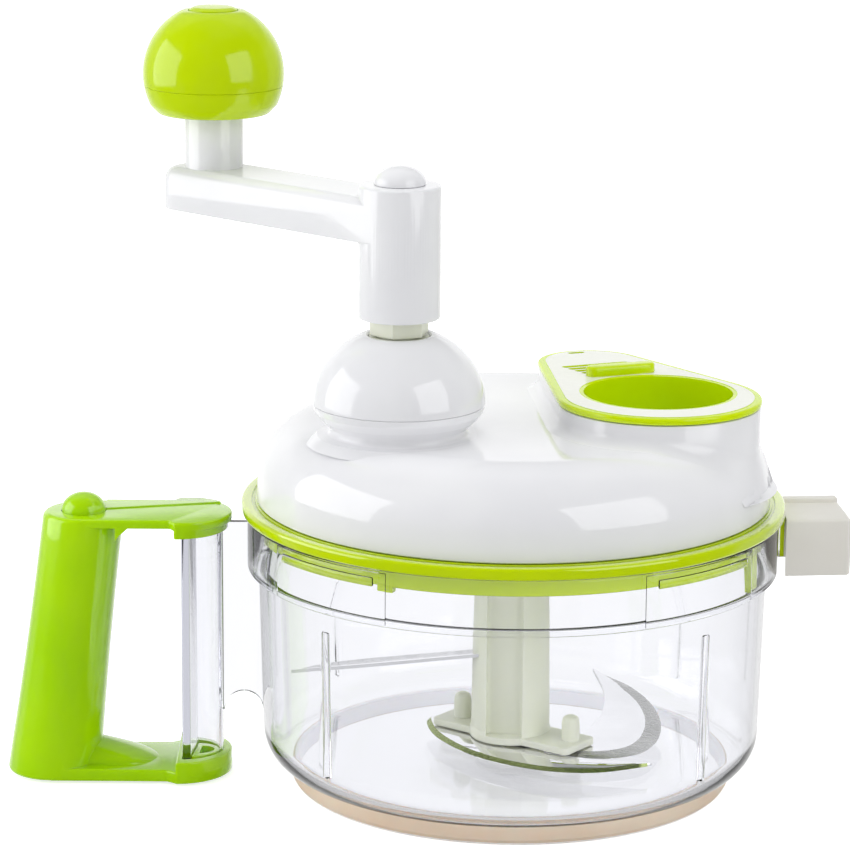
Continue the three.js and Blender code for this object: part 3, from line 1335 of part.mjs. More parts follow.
// The lift-out insert: a rimmed plate with a draining cup, slots and a finger bar
function chuteInsert() {
  const z0 = CHUTE_TOP + SEAT;
  const z1 = z0 + INSERT_T;
  const plate = loft([
    chuteRing(INSERT_GROW, z0),
    chuteRing(INSERT_GROW, z1 - INSERT_EDGE),
    chuteRing(INSERT_GROW - INSERT_EDGE, z1),
  ]);
  const skirtR = -CHUTE_WALL - SLIP;
  const skirtBottom = z0 - INSERT_SKIRT_H;
  const skirtOut = prism(polygon(chuteShape(skirtR)), skirtBottom, z0 + 0.5);
  const skirtIn = prism(polygon(chuteShape(skirtR - INSERT_SKIRT_T)), skirtBottom - 1, z0);
  const [cx, cy] = alongChute(CUP_OFFSET);
  const cupSide = (shift, floor) => {
    const points = [];
    const steps = 4;
    for (let i = 0; i <= steps; i++) {
      const angle = rad(90 * i / steps);
      const r = CUP_BOTTOM_R - shift + (CUP_R - CUP_BOTTOM_R) * Math.sin(angle) ** CUP_SWELL;
      points.push([r, floor + (z1 - floor) * (1 - Math.cos(angle))]);
    }
    return points;
  };
  const floor = z1 - CUP_DEPTH;
  const cupOuter = revolve([
    [0, floor - CUP_WALL],
    ...cupSide(-CUP_WALL, floor - CUP_WALL).slice(0, -1),
    [CUP_R + CUP_WALL, z0 + 0.2],
    [0, z0 + 0.2],
  ]);
  const cupInner = revolve([[0, floor], ...cupSide(0, floor), [CUP_R + 0.3, z1 + 1], [0, z1 + 1]]);
  const drain = prism(roundBar(DRAIN_W, DRAIN_H), -14, 14)
    .rotate([90, 0, 0])
    .rotate([0, 0, DRAIN_AZIMUTH])
    .translate([CUP_BOTTOM_R + DRAIN_H, 0, floor + DRAIN_H - 1]);
  const slots = Array.from({ length: SLOT_COUNT }, (_, i) => {
    const [x, y] = alongChute(SLOT_START - i * SLOT_PITCH, SLOT_SHIFT + i * SLOT_STEP);
    return prism(roundBar(SLOT_LENGTH, SLOT_W, 3), z0 - 1, z1 + 1)
      .rotate([0, 0, CHUTE_AZIMUTH - 90])
      .translate([x, y, 0]);
  });
  const bar = softPrism(roundBar(BAR_LENGTH, BAR_W, 4), z1 - 1.6, z1 + BAR_H, BAR_EDGE)
    .rotate([0, 0, CHUTE_AZIMUTH - 90])
    .translate([...alongChute(BAR_PLACE, -BAR_SHIFT), 0]);
  const keyhole = prism(roundBar(KEYHOLE_LENGTH, KEYHOLE_W, 4), z0 - 1, z1 + 1)
    .rotate([0, 0, CHUTE_AZIMUTH - 90])
    .translate([...alongChute(CHUTE_LENGTH + CHUTE_SMALL_R - KEYHOLE_INSET), 0]);
  const body = join(plate, cut(skirtOut, skirtIn), cupOuter.translate([cx, cy, 0]), bar);
  return cut(body, cupInner.translate([cx, cy, 0]), drain.translate([cx, cy, 0]), keyhole, ...slots);
}

// Assembly

piece('base_ring', baseRing(), SILICONE, 0.6);
piece('bowl', bowl(), CLEAR_PLASTIC, 0.08);
piece('pivot_pin', pivotPin(), STEEL, 0.25, 1);
piece('handle', handle(), LIME);
piece('handle_button', handleButton(), LIME);
piece('button_spring', buttonSpring(), STEEL, 0.3, 1);
piece('blade_shaft', bladeShaft(), IVORY, 0.4);
piece('blade_retainer', bladeRetainer(), IVORY, 0.4);
piece('front_blade', frontBlade(), STEEL, 0.2, 1);
piece('rear_blade', rearBlade(), STEEL, 0.2, 1);
piece('upper_blade', upperBlade(), STEEL, 0.2, 1);
piece('lock_ring', lockRing(), LIME);
piece('thumb_grip', thumbGrip(), IVORY, 0.45);
piece('lid_shell', lidShell(), WHITE, 0.2);
piece('gear_cover', gearCover(), WHITE, 0.2);
piece('gear_plate', gearPlate(), WHITE, 0.3);
SCREW_ANGLES.forEach((azimuth, i) => piece(`plate_screw_${i + 1}`, plateScrew(azimuth), STEEL, 0.3, 1));
piece('crank_bushing', crankBushing(), IVORY, 0.4);
piece('crank_shaft', crankShaft(), IVORY, 0.4);
piece('crank_gear', crankGear(), IVORY, 0.4);
piece('crank_gear_screw', crankGearScrew(), STEEL, 0.3, 1);
piece('pinion', pinion(), IVORY, 0.4);
piece('crank_arm', crankArm(), WHITE, 0.2);
piece('crank_screw', crankScrew(), STEEL, 0.3, 1);
piece('crank_cap', crankCap(), WHITE, 0.2);
piece('knob_lower', knobLower(), LIME);
piece('knob_upper', knobUpper(), LIME);
piece('knob_cap', knobCap(), LIME);
piece('knob_screw', knobScrew(), STEEL, 0.3, 1);
piece('chute_insert', chuteInsert(), PALE_LIME, 0.25);

const outline = new THREE.Box3().setFromObject(group, true);
group.position.x = -(outline.min.x + outline.max.x) / 2;
console.log('bowl axis at x =', group.position.x.toFixed(4), 'mm');

export default group;
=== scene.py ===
# %% [markdown]
# # A crank food chopper
#
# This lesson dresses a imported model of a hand-cranked food chopper: a clear bowl with a side
# grip, a white domed lid with a gear housing and a crank, a lime ring that locks the lid, a
# feed chute with a lift-out insert, and three blades on a plastic shaft. The solids that
# arrive are faceted and plain. Each one that shows gets a smooth piece in its place, made
# with Blender's mesh operators, and a finish made of shader nodes.

# %% Load the frame
import json
import math

import bmesh
import bpy
from mathutils import Matrix, Vector


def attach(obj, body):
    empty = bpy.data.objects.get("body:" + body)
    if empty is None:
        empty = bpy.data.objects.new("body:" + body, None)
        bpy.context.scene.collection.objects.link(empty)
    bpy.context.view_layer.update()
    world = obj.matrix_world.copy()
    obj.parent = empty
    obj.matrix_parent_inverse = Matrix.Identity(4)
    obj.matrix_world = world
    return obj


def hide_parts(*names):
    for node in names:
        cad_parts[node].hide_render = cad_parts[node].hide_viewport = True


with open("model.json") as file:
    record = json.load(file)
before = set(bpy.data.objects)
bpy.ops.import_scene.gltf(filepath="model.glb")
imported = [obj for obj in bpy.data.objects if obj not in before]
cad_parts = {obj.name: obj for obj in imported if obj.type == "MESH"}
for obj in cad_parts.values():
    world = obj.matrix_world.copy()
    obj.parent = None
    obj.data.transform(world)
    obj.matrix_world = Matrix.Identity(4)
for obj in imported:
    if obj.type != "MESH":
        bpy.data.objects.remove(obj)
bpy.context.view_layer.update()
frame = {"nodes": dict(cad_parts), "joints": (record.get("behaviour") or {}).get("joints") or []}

joints = {joint["name"]: joint for joint in frame["joints"]}
print("solids:", len(frame["nodes"]))

# %% [markdown]
# ## Where things turn
#
# The bowl, ring, lid and blades share one upright axis. The crank turns about a second one
# and the ball knob about a third. The joints of the model name these axes, so the pieces
# below are drawn round them, and they still fit if the model's origin moves.

# %% The three axes
MM = 0.001
BOWL = Vector((joints["blade_spin"]["pos_m"][0], 0, 0)) / MM
CRANK = Vector((*joints["crank_spin"]["pos_m"][:2], 0)) / MM
KNOB = Vector((*joints["knob_spin"]["pos_m"][:2], 0)) / MM
ARM_TURN = math.degrees(math.atan2(KNOB.y - CRANK.y, KNOB.x - CRANK.x))
ARM_LENGTH = (KNOB - CRANK).length
print("bowl axis x %.2f mm, crank arm %.1f mm at %.1f degrees" % (BOWL.x, ARM_LENGTH, ARM_TURN))

# %% [markdown]
# ## The camera
#
# The photograph looks slightly down on the object, from 1.25 m away, with a long lens. The
# ring, the bowl and the base are circles of known height, and their ellipses in the picture
# give the tilt, the distance and the lens. The camera is made first, so that every later
# step can be judged through it.

# %% Camera
CAMERA_TILT = 13.41
CAMERA_ROLL = 0.40
CAMERA_DISTANCE = 1247.0
LENS_PIXELS = 3770.0
IMAGE_PIXELS = 850.0
SENSOR_MM = 36.0
target = BOWL + Vector((-29.43, 0, 120.41))
tilt = math.radians(CAMERA_TILT)
camera = bpy.data.objects.new("camera", bpy.data.cameras.new("camera"))
bpy.context.scene.collection.objects.link(camera)
camera.location = (target + CAMERA_DISTANCE * Vector((0, -math.cos(tilt), math.sin(tilt)))) * MM
roll = Matrix.Rotation(math.radians(CAMERA_ROLL), 4, "Z")
camera.rotation_euler = (Matrix.Rotation(math.pi / 2 - tilt, 4, "X") @ roll).to_euler()
camera.data.sensor_width = SENSOR_MM
camera.data.lens = LENS_PIXELS * SENSOR_MM / IMAGE_PIXELS
bpy.context.scene.camera = camera
print("lens %.1f mm at %.3f m" % (camera.data.lens, CAMERA_DISTANCE * MM))

# %% [markdown]
# ## Shader helpers
#
# Moulded plastic is never one flat value. Its colour drifts a little with the thickness of
# the wall, its gloss is broken by fine scuffs and finger marks, and its surface has a faint
# waviness from the mould. Each finish below starts from the same small tool: a Principled
# shader whose colour, roughness and bump each read a noise of their own size in Object
# coordinates, so that the pattern stays on the piece when the piece moves.

# %% Colour
def colour(red, green, blue):
    """An 8-bit screen colour as the linear values that a shader wants."""
    def linear(value):
        """The standard screen curve, undone."""
        value /= 255
        return value / 12.92 if value <= 0.04045 else ((value + 0.055) / 1.055) ** 2.4
    return (linear(red), linear(green), linear(blue), 1.0)


print("a middle grey of 128 is %.3f in linear light" % colour(128, 128, 128)[0])

# %% Node helpers
def feed(tree, node, values):
    """Fills inputs of a node, by name or number: an output is linked, a constant is set."""
    for key, value in values.items():
        if isinstance(value, bpy.types.NodeSocket):
            tree.links.new(value, node.inputs[key])
        else:
            node.inputs[key].default_value = value


def new_finish(name):
    """An empty material with its node tree, its shader and its output node."""
    material = bpy.data.materials.new(name)
    material.use_nodes = True
    tree = material.node_tree
    tree.nodes.clear()
    output = tree.nodes.new("ShaderNodeOutputMaterial")
    shader = tree.nodes.new("ShaderNodeBsdfPrincipled")
    feed(tree, output, {"Surface": shader.outputs["BSDF"]})
    return material, tree, shader, output


def calculate(tree, operation, *values):
    """One Math node; each value is an output or a number."""
    node = tree.nodes.new("ShaderNodeMath")
    node.operation = operation
    feed(tree, node, dict(enumerate(values)))
    return node.outputs["Value"]


def mixed(tree, first, second, factor=1.0, blend="MULTIPLY"):
    """Two colours through a Mix node; each is an output or a colour."""
    node = tree.nodes.new("ShaderNodeMix")
    node.data_type, node.blend_type = "RGBA", blend
    feed(tree, node, {"Factor": factor, "A": first, "B": second})
    return node.outputs["Result"]


# %% Pattern helpers
def noise(tree, scale, detail=3.0, roughness=0.5, distortion=0.0, stretch=(1, 1, 1)):
    """A noise in Object coordinates; scale is in waves per metre."""
    place = tree.nodes.new("ShaderNodeTexCoord")
    mapping = tree.nodes.new("ShaderNodeMapping")
    feed(tree, mapping, {"Vector": place.outputs["Object"], "Scale": stretch})
    texture = tree.nodes.new("ShaderNodeTexNoise")
    feed(tree, texture, {"Vector": mapping.outputs["Vector"], "Scale": scale, "Detail": detail,
                         "Roughness": roughness, "Distortion": distortion})
    return texture.outputs["Fac"]


def ramp(tree, source, stops):
    """Colours or values spread over a source from 0 to 1: stops are (place, colour)."""
    node = tree.nodes.new("ShaderNodeValToRGB")
    band = node.color_ramp
    while len(band.elements) < len(stops):
        band.elements.new(0.5)
    for element, (place, value) in zip(band.elements, stops):
        element.position = place
        element.color = value if hasattr(value, "__len__") else (value, value, value, 1)
    feed(tree, node, {"Fac": source})
    return node.outputs["Color"]


def add_bump(tree, shader, heights):
    """Stacked bumps: heights are (source, strength, distance in metres)."""
    previous = None
    for source, strength, distance in heights:
        bump = tree.nodes.new("ShaderNodeBump")
        feed(tree, bump, {"Height": source, "Strength": strength, "Distance": distance})
        if previous is not None:
            feed(tree, bump, {"Normal": previous})
        previous = bump.outputs["Normal"]
    feed(tree, shader, {"Normal": previous})


# %% [markdown]
# ## Lime, white and ivory plastic
#
# The lime parts are glossy polypropylene: a strong yellow-green with a soft glow where light
# enters thin walls. The lid and the crank are gloss white and the inner shaft is a satin
# ivory. One recipe serves all of them, with its colours and gloss as arguments. Scuffs are a
# fine, stretched noise that lifts the roughness here and there; worn edges come from the
# Bevel node, whose softened normal differs from the true one only near an edge.

# %% Recipe for moulded plastic
WEAR_WIDTH = 0.0007


def worn_edges(tree, body, fresh, amount):
    """Pales a body colour along its edges, where the bevelled normal leaves the true one."""
    bevel = tree.nodes.new("ShaderNodeBevel")
    bevel.samples = 4
    feed(tree, bevel, {"Radius": WEAR_WIDTH})
    geometry = tree.nodes.new("ShaderNodeNewGeometry")
    difference = tree.nodes.new("ShaderNodeVectorMath")
    difference.operation = "DISTANCE"
    feed(tree, difference, {0: bevel.outputs["Normal"], 1: geometry.outputs["Normal"]})
    worn = ramp(tree, difference.outputs["Value"], [(0.05, 0.0), (0.5, amount)])
    paler = tuple(min(0.95, c + 0.5 * (c + 0.08)) for c in fresh[:3]) + (1,)
    return mixed(tree, body, paler, worn, "MIX")


def moulded(name, low, high, gloss, glow=0.0, glow_reach=(1.0, 1.0, 0.2), edge=0.12, mirror=0.5,
            coat=0.0):
    """Gloss plastic whose colour drifts from low to high and whose edges are a little worn."""
    material, tree, shader, _ = new_finish(name)
    low, high = colour(*low), colour(*high)
    body = ramp(tree, noise(tree, 28, detail=2), [(0.32, low), (0.68, high)])
    scuffs = noise(tree, 210, detail=6, roughness=0.7, distortion=0.6, stretch=(1, 1, 0.35))
    feed(tree, shader, {
        "Base Color": worn_edges(tree, body, high, edge),
        "Roughness": ramp(tree, scuffs, [(0.45, gloss), (0.72, gloss + 0.12)]),
        "IOR": 1.5, "Specular IOR Level": mirror,
        "Coat Weight": coat, "Coat Roughness": 0.05, "Coat IOR": 1.6,
    })
    if glow:
        feed(tree, shader, {"Subsurface Weight": glow, "Subsurface Radius": glow_reach,
                            "Subsurface Scale": 0.004})
    orange_peel = noise(tree, 520, detail=1)
    mould_waves = noise(tree, 34, detail=1)
    add_bump(tree, shader, [(orange_peel, 0.05, 0.0001), (mould_waves, 0.35, 0.00004)])
    return material


# %% The plastics
LIME = moulded("lime_plastic_gloss", (166, 220, 0), (178, 228, 0), 0.14, 0.12, coat=0.6)
YELLOW_LIME = moulded("lime_plastic_ring", (194, 220, 0), (202, 226, 0), 0.10, 0.10, edge=0.05,
                      mirror=0.6, coat=1.0)
KNOB_LIME = moulded("lime_plastic_knob", (190, 218, 0), (198, 225, 0), 0.11, 0.10, edge=0.05,
                    mirror=0.7)
INSERT_LIME = moulded("lime_plastic_insert", (202, 230, 0), (212, 238, 2), 0.10, 0.25, mirror=0.7)
WHITE = moulded("white_plastic_gloss", (238, 238, 241), (243, 243, 245), 0.05, edge=0.04,
                mirror=0.9)
PLATE_WHITE = moulded("insert_plate_white", (240, 242, 230), (246, 247, 238), 0.16, edge=0.04)
IVORY = moulded("ivory_plastic_satin", (226, 229, 208), (236, 238, 222), 0.30, 0.2,
                (1.0, 1.0, 0.7), edge=0.05)
GREY_WHITE = moulded("grey_white_plastic", (226, 222, 214), (234, 231, 224), 0.30, edge=0.06)
plastics = (LIME, YELLOW_LIME, KNOB_LIME, INSERT_LIME, WHITE, PLATE_WHITE, IVORY, GREY_WHITE)
print("plastics:", [material.name for material in plastics])

# %% [markdown]
# ## Clear plastic
#
# The bowl is injection-moulded styrene: nearly colourless, with a faint violet-blue cast
# where one looks along the wall. A volume that absorbs a little red and green gives that for
# free, because a ray that runs along a wall crosses more of it. The surface carries smudges
# and hair-fine scratches, so its roughness isn't even.

# %% Clear styrene
def clear_plastic(name):
    """Styrene with uneven gloss, and a volume that takes a little red and green away."""
    material, tree, shader, output = new_finish(name)
    smudges = noise(tree, 45, detail=5, roughness=0.62, distortion=0.4)
    feed(tree, shader, {
        "Base Color": (0.985, 0.988, 1.0, 1), "Transmission Weight": 1.0, "IOR": 1.42,
        "Roughness": ramp(tree, smudges, [(0.5, 0.012), (0.8, 0.07)]),
    })
    waves = noise(tree, 22, detail=1)
    scratches = noise(tree, 900, detail=2, stretch=(1, 1, 0.05))
    add_bump(tree, shader, [(waves, 0.5, 0.00005), (scratches, 0.04, 0.00005)])
    absorb = tree.nodes.new("ShaderNodeVolumeAbsorption")
    feed(tree, absorb, {"Color": (0.70, 0.72, 0.92, 1), "Density": 18.0})
    feed(tree, output, {"Volume": absorb.outputs["Volume"]})
    return material


CLEAR = clear_plastic("clear_styrene")
print("clear:", CLEAR.name)

# %% [markdown]
# ## Silicone and steel
#
# The base ring is a soft, pinkish-beige elastomer that light enters, so it gets a strong
# glow and little gloss. The blades are rolled sheet: a mirror with very fine grinding lines
# along it, and coarser ones across the ground edge. On the front blade the ground edge is
# tinted lime, a painted reflection of the lid's ring; on the others it is a darker grey steel
# that mirrors the studio.

# %% Recipes for silicone and steel
def silicone(name, low, high, painted_glow=0.0):
    """Soft elastomer; shine sets a painted glow for faces that would lie dark in the shade under
    the bowl.
    """
    material, tree, shader, _ = new_finish(name)
    low, high = colour(*low), colour(*high)
    cloud = noise(tree, 18, detail=4, roughness=0.6)
    dust = noise(tree, 260, detail=4)
    feed(tree, shader, {
        "Base Color": ramp(tree, cloud, [(0.3, low), (0.7, high)]),
        "Emission Color": high, "Emission Strength": painted_glow,
        "Subsurface Weight": 0.5, "Subsurface Radius": (1.0, 0.6, 0.4), "Subsurface Scale": 0.006,
        "Roughness": ramp(tree, dust, [(0.4, 0.42), (0.7, 0.58)]),
    })
    add_bump(tree, shader, [(noise(tree, 700, detail=2), 0.15, 0.0001)])
    return material


def steel(name, tint, gloss, lines, stretch=(1, 1, 1)):
    """Bare metal with grinding lines of a given depth, stretched along one direction."""
    material, tree, shader, _ = new_finish(name)
    cloud = noise(tree, 40, detail=3)
    grain = noise(tree, 900, detail=3, stretch=stretch)
    feed(tree, shader, {
        "Metallic": 1.0,
        "Base Color": ramp(tree, cloud, [(0.3, (*[0.9 * c for c in tint], 1)), (0.7, (*tint, 1))]),
        "Roughness": ramp(tree, grain, [(0.35, gloss), (0.7, 1.6 * gloss + 0.03)]),
    })
    add_bump(tree, shader, [(grain, lines, 0.00003)])
    return material


# %% Silicone, blade steel and zinc
SILICONE = silicone("soft_silicone", (226, 203, 180), (238, 220, 202))
# The pale finish glows a little: painted light for the faces that lie in shade under the bowl.
PALE_SILICONE_PAINTED_GLOW = silicone("soft_silicone_pale_painted_glow", (236, 236, 240), (243, 243, 246), painted_glow=0.3)
ALONG, ACROSS = (1, 0.12, 1), (0.15, 1, 1)
BLADE = steel("blade_steel_polished", (0.93, 0.93, 0.94), 0.03, 0.03, ALONG)
# Painted reflection: this ground steel is tinted lime for the lid's ring that the front blade would
# mirror.
LIME_REFLECTION_GROUND = steel("blade_steel_ground_lime_reflection", (0.30, 0.36, 0.13), 0.22, 0.25, ACROSS)
GREY_GROUND = steel("blade_steel_ground_grey", (0.50, 0.50, 0.49), 0.20, 0.25, ACROSS)
DARK_GROUND = steel("blade_steel_dark", (0.20, 0.20, 0.21), 0.12, 0.1, ALONG)
ZINC = steel("zinc_steel", (0.72, 0.72, 0.73), 0.22, 0.15)
metals = (BLADE, LIME_REFLECTION_GROUND, GREY_GROUND, DARK_GROUND, ZINC)
print("metals:", [material.name for material in metals])

# %% [markdown]
# ## Drawing helpers
#
# Most of these pieces are turned or extruded shapes with rounded edges. Profiles and
# outlines are given as corners with a radius, and `rounded` puts the arcs in. `turned` spins
# a profile about the Z axis with a merged seam. `slab` extrudes an outline and can bevel its
# rims. All of them work in millimetres about the Z axis, and `place` moves the result to its
# own axis and turns it into an object, so that the object's origin stays at zero.

# %% Outlines
def polar(radius, degrees):
    """The point at a distance and an angle from zero."""
    return (radius * math.cos(math.radians(degrees)), radius * math.sin(math.radians(degrees)))


def quarter(count):
    """Angles in radians from 0 to 90 degrees, in even steps."""
    return [math.radians(90 * k / count) for k in range(count + 1)]


def arc(cx, cy, radius, start, end, steps):
    """Points on a circle, from one angle to another in degrees."""
    centre = Vector((cx, cy))
    turns = [start + i * (end - start) / steps for i in range(steps + 1)]
    return [tuple(centre + Vector(polar(radius, turn))) for turn in turns]


def rounded(corners, closed=False, steps=5):
    """Corners as (a, b) or (a, b, radius); each radius becomes a tangent arc."""
    points = []
    count = len(corners)
    for i, corner in enumerate(corners):
        here = Vector(corner[:2])
        radius = corner[2] if len(corner) > 2 else 0
        if not radius or (not closed and i in (0, count - 1)):
            points.append(tuple(here))
            continue
        before = Vector(corners[i - 1][:2]) - here
        after = Vector(corners[(i + 1) % count][:2]) - here
        half = before.angle(after) / 2
        reach = min(radius / math.tan(half), 0.49 * before.length, 0.49 * after.length)
        radius = reach * math.tan(half)
        middle = (before.normalized() + after.normalized()).normalized()
        centre = here + middle * radius / math.sin(half)
        start = here + before.normalized() * reach - centre
        end = here + after.normalized() * reach - centre
        sweep = start.angle_signed(end)
        for k in range(steps + 1):
            points.append(tuple(centre + Matrix.Rotation(-sweep * k / steps, 2) @ start))
    return points


square = [(0, 0, 1), (4, 0, 1), (4, 4, 1), (0, 4, 1)]
print("a rounded square has", len(rounded(square, closed=True)), "points")


def crown(radius, base, rise, start, step):
    """The side of a low dome, from a little above its base to near its top."""
    turn = [math.radians(degrees) for degrees in range(start, 90, step)]
    return [(radius * math.cos(t), base + rise * math.sin(t)) for t in turn]


# %% Turned and extruded solids
NEAR = 1e-4


def turned(profile, closed=False, steps=128):
    """A profile of (radius, height) spun about Z."""
    bm = bmesh.new()
    verts = [bm.verts.new((r, 0, z)) for r, z in profile]
    pairs = list(zip(verts, verts[1:])) + ([(verts[-1], verts[0])] if closed else [])
    edges = [bm.edges.new(pair) for pair in pairs]
    bmesh.ops.spin(bm, geom=verts + edges, cent=(0, 0, 0), axis=(0, 0, 1), dvec=(0, 0, 0),
                   angle=2 * math.pi, steps=steps, use_merge=True, use_duplicate=False)
    bmesh.ops.remove_doubles(bm, verts=bm.verts, dist=NEAR)
    bmesh.ops.recalc_face_normals(bm, faces=bm.faces)
    return bm


def only(geometry, kind):
    """The vertices, edges or faces among what an operator has made."""
    return [item for item in geometry if isinstance(item, kind)]


def level(*heights):
    """A test for edges that lie flat at one of these heights."""
    return lambda edge: any(all(abs(v.co.z - z) < NEAR for v in edge.verts) for z in heights)


def slab(outline, low, high, bevel=0.0, segments=3, top_only=False):
    """An outline extruded from one height to another, with bevelled rims if asked."""
    bm = bmesh.new()
    face = bm.faces.new([bm.verts.new((x, y, low)) for x, y in outline])
    grown = bmesh.ops.extrude_face_region(bm, geom=[face])["geom"]
    bmesh.ops.translate(bm, vec=(0, 0, high - low), verts=only(grown, bmesh.types.BMVert))
    bmesh.ops.recalc_face_normals(bm, faces=bm.faces)
    if bevel:
        soften(bm, level(high) if top_only else level(low, high), bevel, segments)
    return bm


def soften(bm, chosen, size, segments=3):
    """Bevels the edges that a test chooses."""
    edges = [e for e in bm.edges if chosen(e)]
    bmesh.ops.bevel(bm, geom=edges, offset=size, offset_type="OFFSET", segments=segments,
                    profile=0.5, affect="EDGES", material=-1, clamp_overlap=True)
    return bm


trial = slab(rounded(square, closed=True), 0, 1, 0.2)
print("a bevelled slab has", len(trial.faces), "faces")
trial.free()

# %% Moving and merging
def merged(*parts):
    """Several meshes as one, left where they are."""
    bm = bmesh.new()
    for part in parts:
        mesh = bpy.data.meshes.new("part")
        part.to_mesh(mesh)
        part.free()
        bm.from_mesh(mesh)
        bpy.data.meshes.remove(mesh)
    return bm


def moved(bm, vec=(0, 0, 0), turn=0.0, axis="Z"):
    """A mesh turned about zero by an angle in degrees, and then shifted."""
    bmesh.ops.rotate(bm, verts=bm.verts, cent=(0, 0, 0),
                     matrix=Matrix.Rotation(math.radians(turn), 3, axis))
    bmesh.ops.translate(bm, verts=bm.verts, vec=vec)
    return bm


for name, spot in (("bowl", BOWL), ("crank", CRANK), ("knob", KNOB)):
    print("%s axis at %.1f, %.1f mm" % (name, spot.x, spot.y))

# %% [markdown]
# ## From a mesh to a piece
#
# A finished mesh is moved to its axis, scaled from millimetres to metres, shaded smooth with
# its hard edges kept sharp, and linked as an object that rides on its body and stands for
# the plain solid. Solids that must be fused, such as the bowl and its ribs, go through the
# Boolean modifier, which is applied at once so that the piece stays an ordinary mesh.

# %% Objects and Booleans
def as_object(bm, name, at=(0, 0, 0)):
    """A mesh in millimetres round an axis as an object in metres."""
    bmesh.ops.transform(bm, matrix=Matrix.Scale(MM, 4) @ Matrix.Translation(at), verts=bm.verts)
    mesh = bpy.data.meshes.new(name)
    bm.to_mesh(mesh)
    bm.free()
    obj = bpy.data.objects.new(name, mesh)
    bpy.context.scene.collection.objects.link(obj)
    return obj


def tool(bm, at=BOWL):
    """A mesh on its way into a Boolean, as a rule round the bowl's axis."""
    return as_object(bm, "tool", at)


def combine(obj, operation, tools):
    """Applies Booleans to obj with other objects, which are then removed."""
    for other in tools:
        modifier = obj.modifiers.new("combine", "BOOLEAN")
        modifier.operation = operation
        modifier.solver = "MANIFOLD"
        modifier.object = other
        bpy.context.view_layer.objects.active = obj
        bpy.ops.object.modifier_apply(modifier=modifier.name)
        if obj.modifiers:
            raise RuntimeError("%s could not be combined with %s" % (obj.name, other.name))
        bpy.data.objects.remove(other)
    return obj


def join(obj, *tools):
    """Fuses objects to obj."""
    return combine(obj, "UNION", tools)


def cut(obj, *tools):
    """Cuts objects out of obj."""
    return combine(obj, "DIFFERENCE", tools)


def absorb(obj, *others):
    """Adds other meshes to an object without fusing them; opaque pieces may overlap inside."""
    bm = bmesh.new()
    for each in (obj, *others):
        bm.from_mesh(each.data)
    bm.to_mesh(obj.data)
    bm.free()
    for each in others:
        bpy.data.objects.remove(each)
    return obj


def settle(obj, at, turn):
    """Turns an object's mesh about Z and moves it from zero to its axis."""
    spin = Matrix.Rotation(math.radians(turn), 4, "Z")
    obj.data.transform(Matrix.Translation(at * MM) @ spin)
    return obj


# %% Placing
made = []


def place(what, name, body, nodes, finish, slot, at=(0, 0, 0), sharp=32, finishes=()):
    """Makes a mesh or an object a finished piece of the model."""
    obj = what if isinstance(what, bpy.types.Object) else as_object(what, name, at)
    obj.name = name
    mesh = obj.data
    kinds = [face.material_index for face in mesh.polygons]
    mesh.materials.clear()
    for material in (finish, *finishes):
        mesh.materials.append(material)
    mesh.polygons.foreach_set("material_index", kinds)
    mesh.shade_smooth()
    mesh.set_sharp_from_angle(angle=math.radians(sharp))
    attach(obj, body)
    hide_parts(*nodes)
    made.append(obj)
    print("%s: %d faces" % (name, len(mesh.polygons)))
    return obj


# %% [markdown]
# ## The base ring
#
# A soft band round the bowl's foot keeps it from sliding. It is a simple ring with rounded
# shoulders and a moulding line near its lower edge, so one spun profile makes it. Nothing
# beige shows through the bowl's floor, so the faces that lie under the bowl are near white,
# and they carry a painted glow that lifts them out of the shade there.

# %% Base ring
base_profile = rounded([
    (71.0, 0, 0.3), (72.7, 0, 1.0), (73.25, 1.5, 0.2), (73.6, 1.7, 0.2), (73.6, 6.1, 0.7),
    (71.0, 5.9, 0.3),
], closed=True, steps=4)
base_ring = turned(base_profile, closed=True)
# The faces under the bowl take the pale finish with its painted glow.
HIDDEN_R, HIDDEN_Z = 72.9, 0.5
for face in base_ring.faces:
    middle = face.calc_center_median()
    hidden = math.hypot(middle.x, middle.y) < HIDDEN_R and middle.z > HIDDEN_Z
    face.material_index = 1 if hidden else 0
place(base_ring, "base_ring_soft", "base", ["base_ring"], SILICONE, "soft_silicone", BOWL,
      finishes=(PALE_SILICONE_PAINTED_GLOW,))

# %% [markdown]
# ## The bowl
#
# A clear piece has to be one closed skin with no walls inside it, because light bends at
# every surface it meets. So the shell is spun as one profile, inside and outside together,
# and the post, web, ribs, pads and tracks are fused to it with a Boolean.

# %% Bowl shell
WALL_R, DRAFT, WALL = 83.2, 1.3, 1.8
SKIRT_R, SKIRT_Z, SKIRT_WALL, RIM_Z = 88.2, 73.3, 1.9, 91.7
FLOOR_Z, UNDER_Z, UNDER_ROUND = 8.6, 6.0, 12


def wall_radius(z):
    """The outside of the wall, which widens towards the skirt so that the mould lets go."""
    wall_low = UNDER_Z + UNDER_ROUND
    return WALL_R + DRAFT * (z - wall_low) / (SKIRT_Z - wall_low)


shell_profile = rounded([
    (0, UNDER_Z), (82.7, UNDER_Z, UNDER_ROUND), (wall_radius(SKIRT_Z), SKIRT_Z, 0.5),
    (SKIRT_R, SKIRT_Z, 1.0), (SKIRT_R, RIM_Z, 0.8), (SKIRT_R - SKIRT_WALL, RIM_Z, 0.8),
    (SKIRT_R - SKIRT_WALL, SKIRT_Z + SKIRT_WALL, 0.7),
    (wall_radius(SKIRT_Z) - WALL, SKIRT_Z + SKIRT_WALL, 0.7),
    (80.9, FLOOR_Z, 10.2), (7.2, FLOOR_Z, 0.5),
    (6.4, 10.5, 0.3), (3.3, 10.5, 0.2), (3.3, 7.7), (0, 7.7),
], steps=8)
bowl = as_object(turned(shell_profile, steps=160), "bowl_clear", BOWL)
print("bowl shell:", len(bowl.data.polygons), "faces")

# %% [markdown]
# The handle clips on a hollow half-round post. A thin web joins the post to the bowl, and a
# small arch is cut in the web's foot.

# %% Post and web
POST_X, POST_R, POST_WALL = -109.7, 13.2, 2.2
POST_LOW, POST_HIGH = 3.6, 87.2


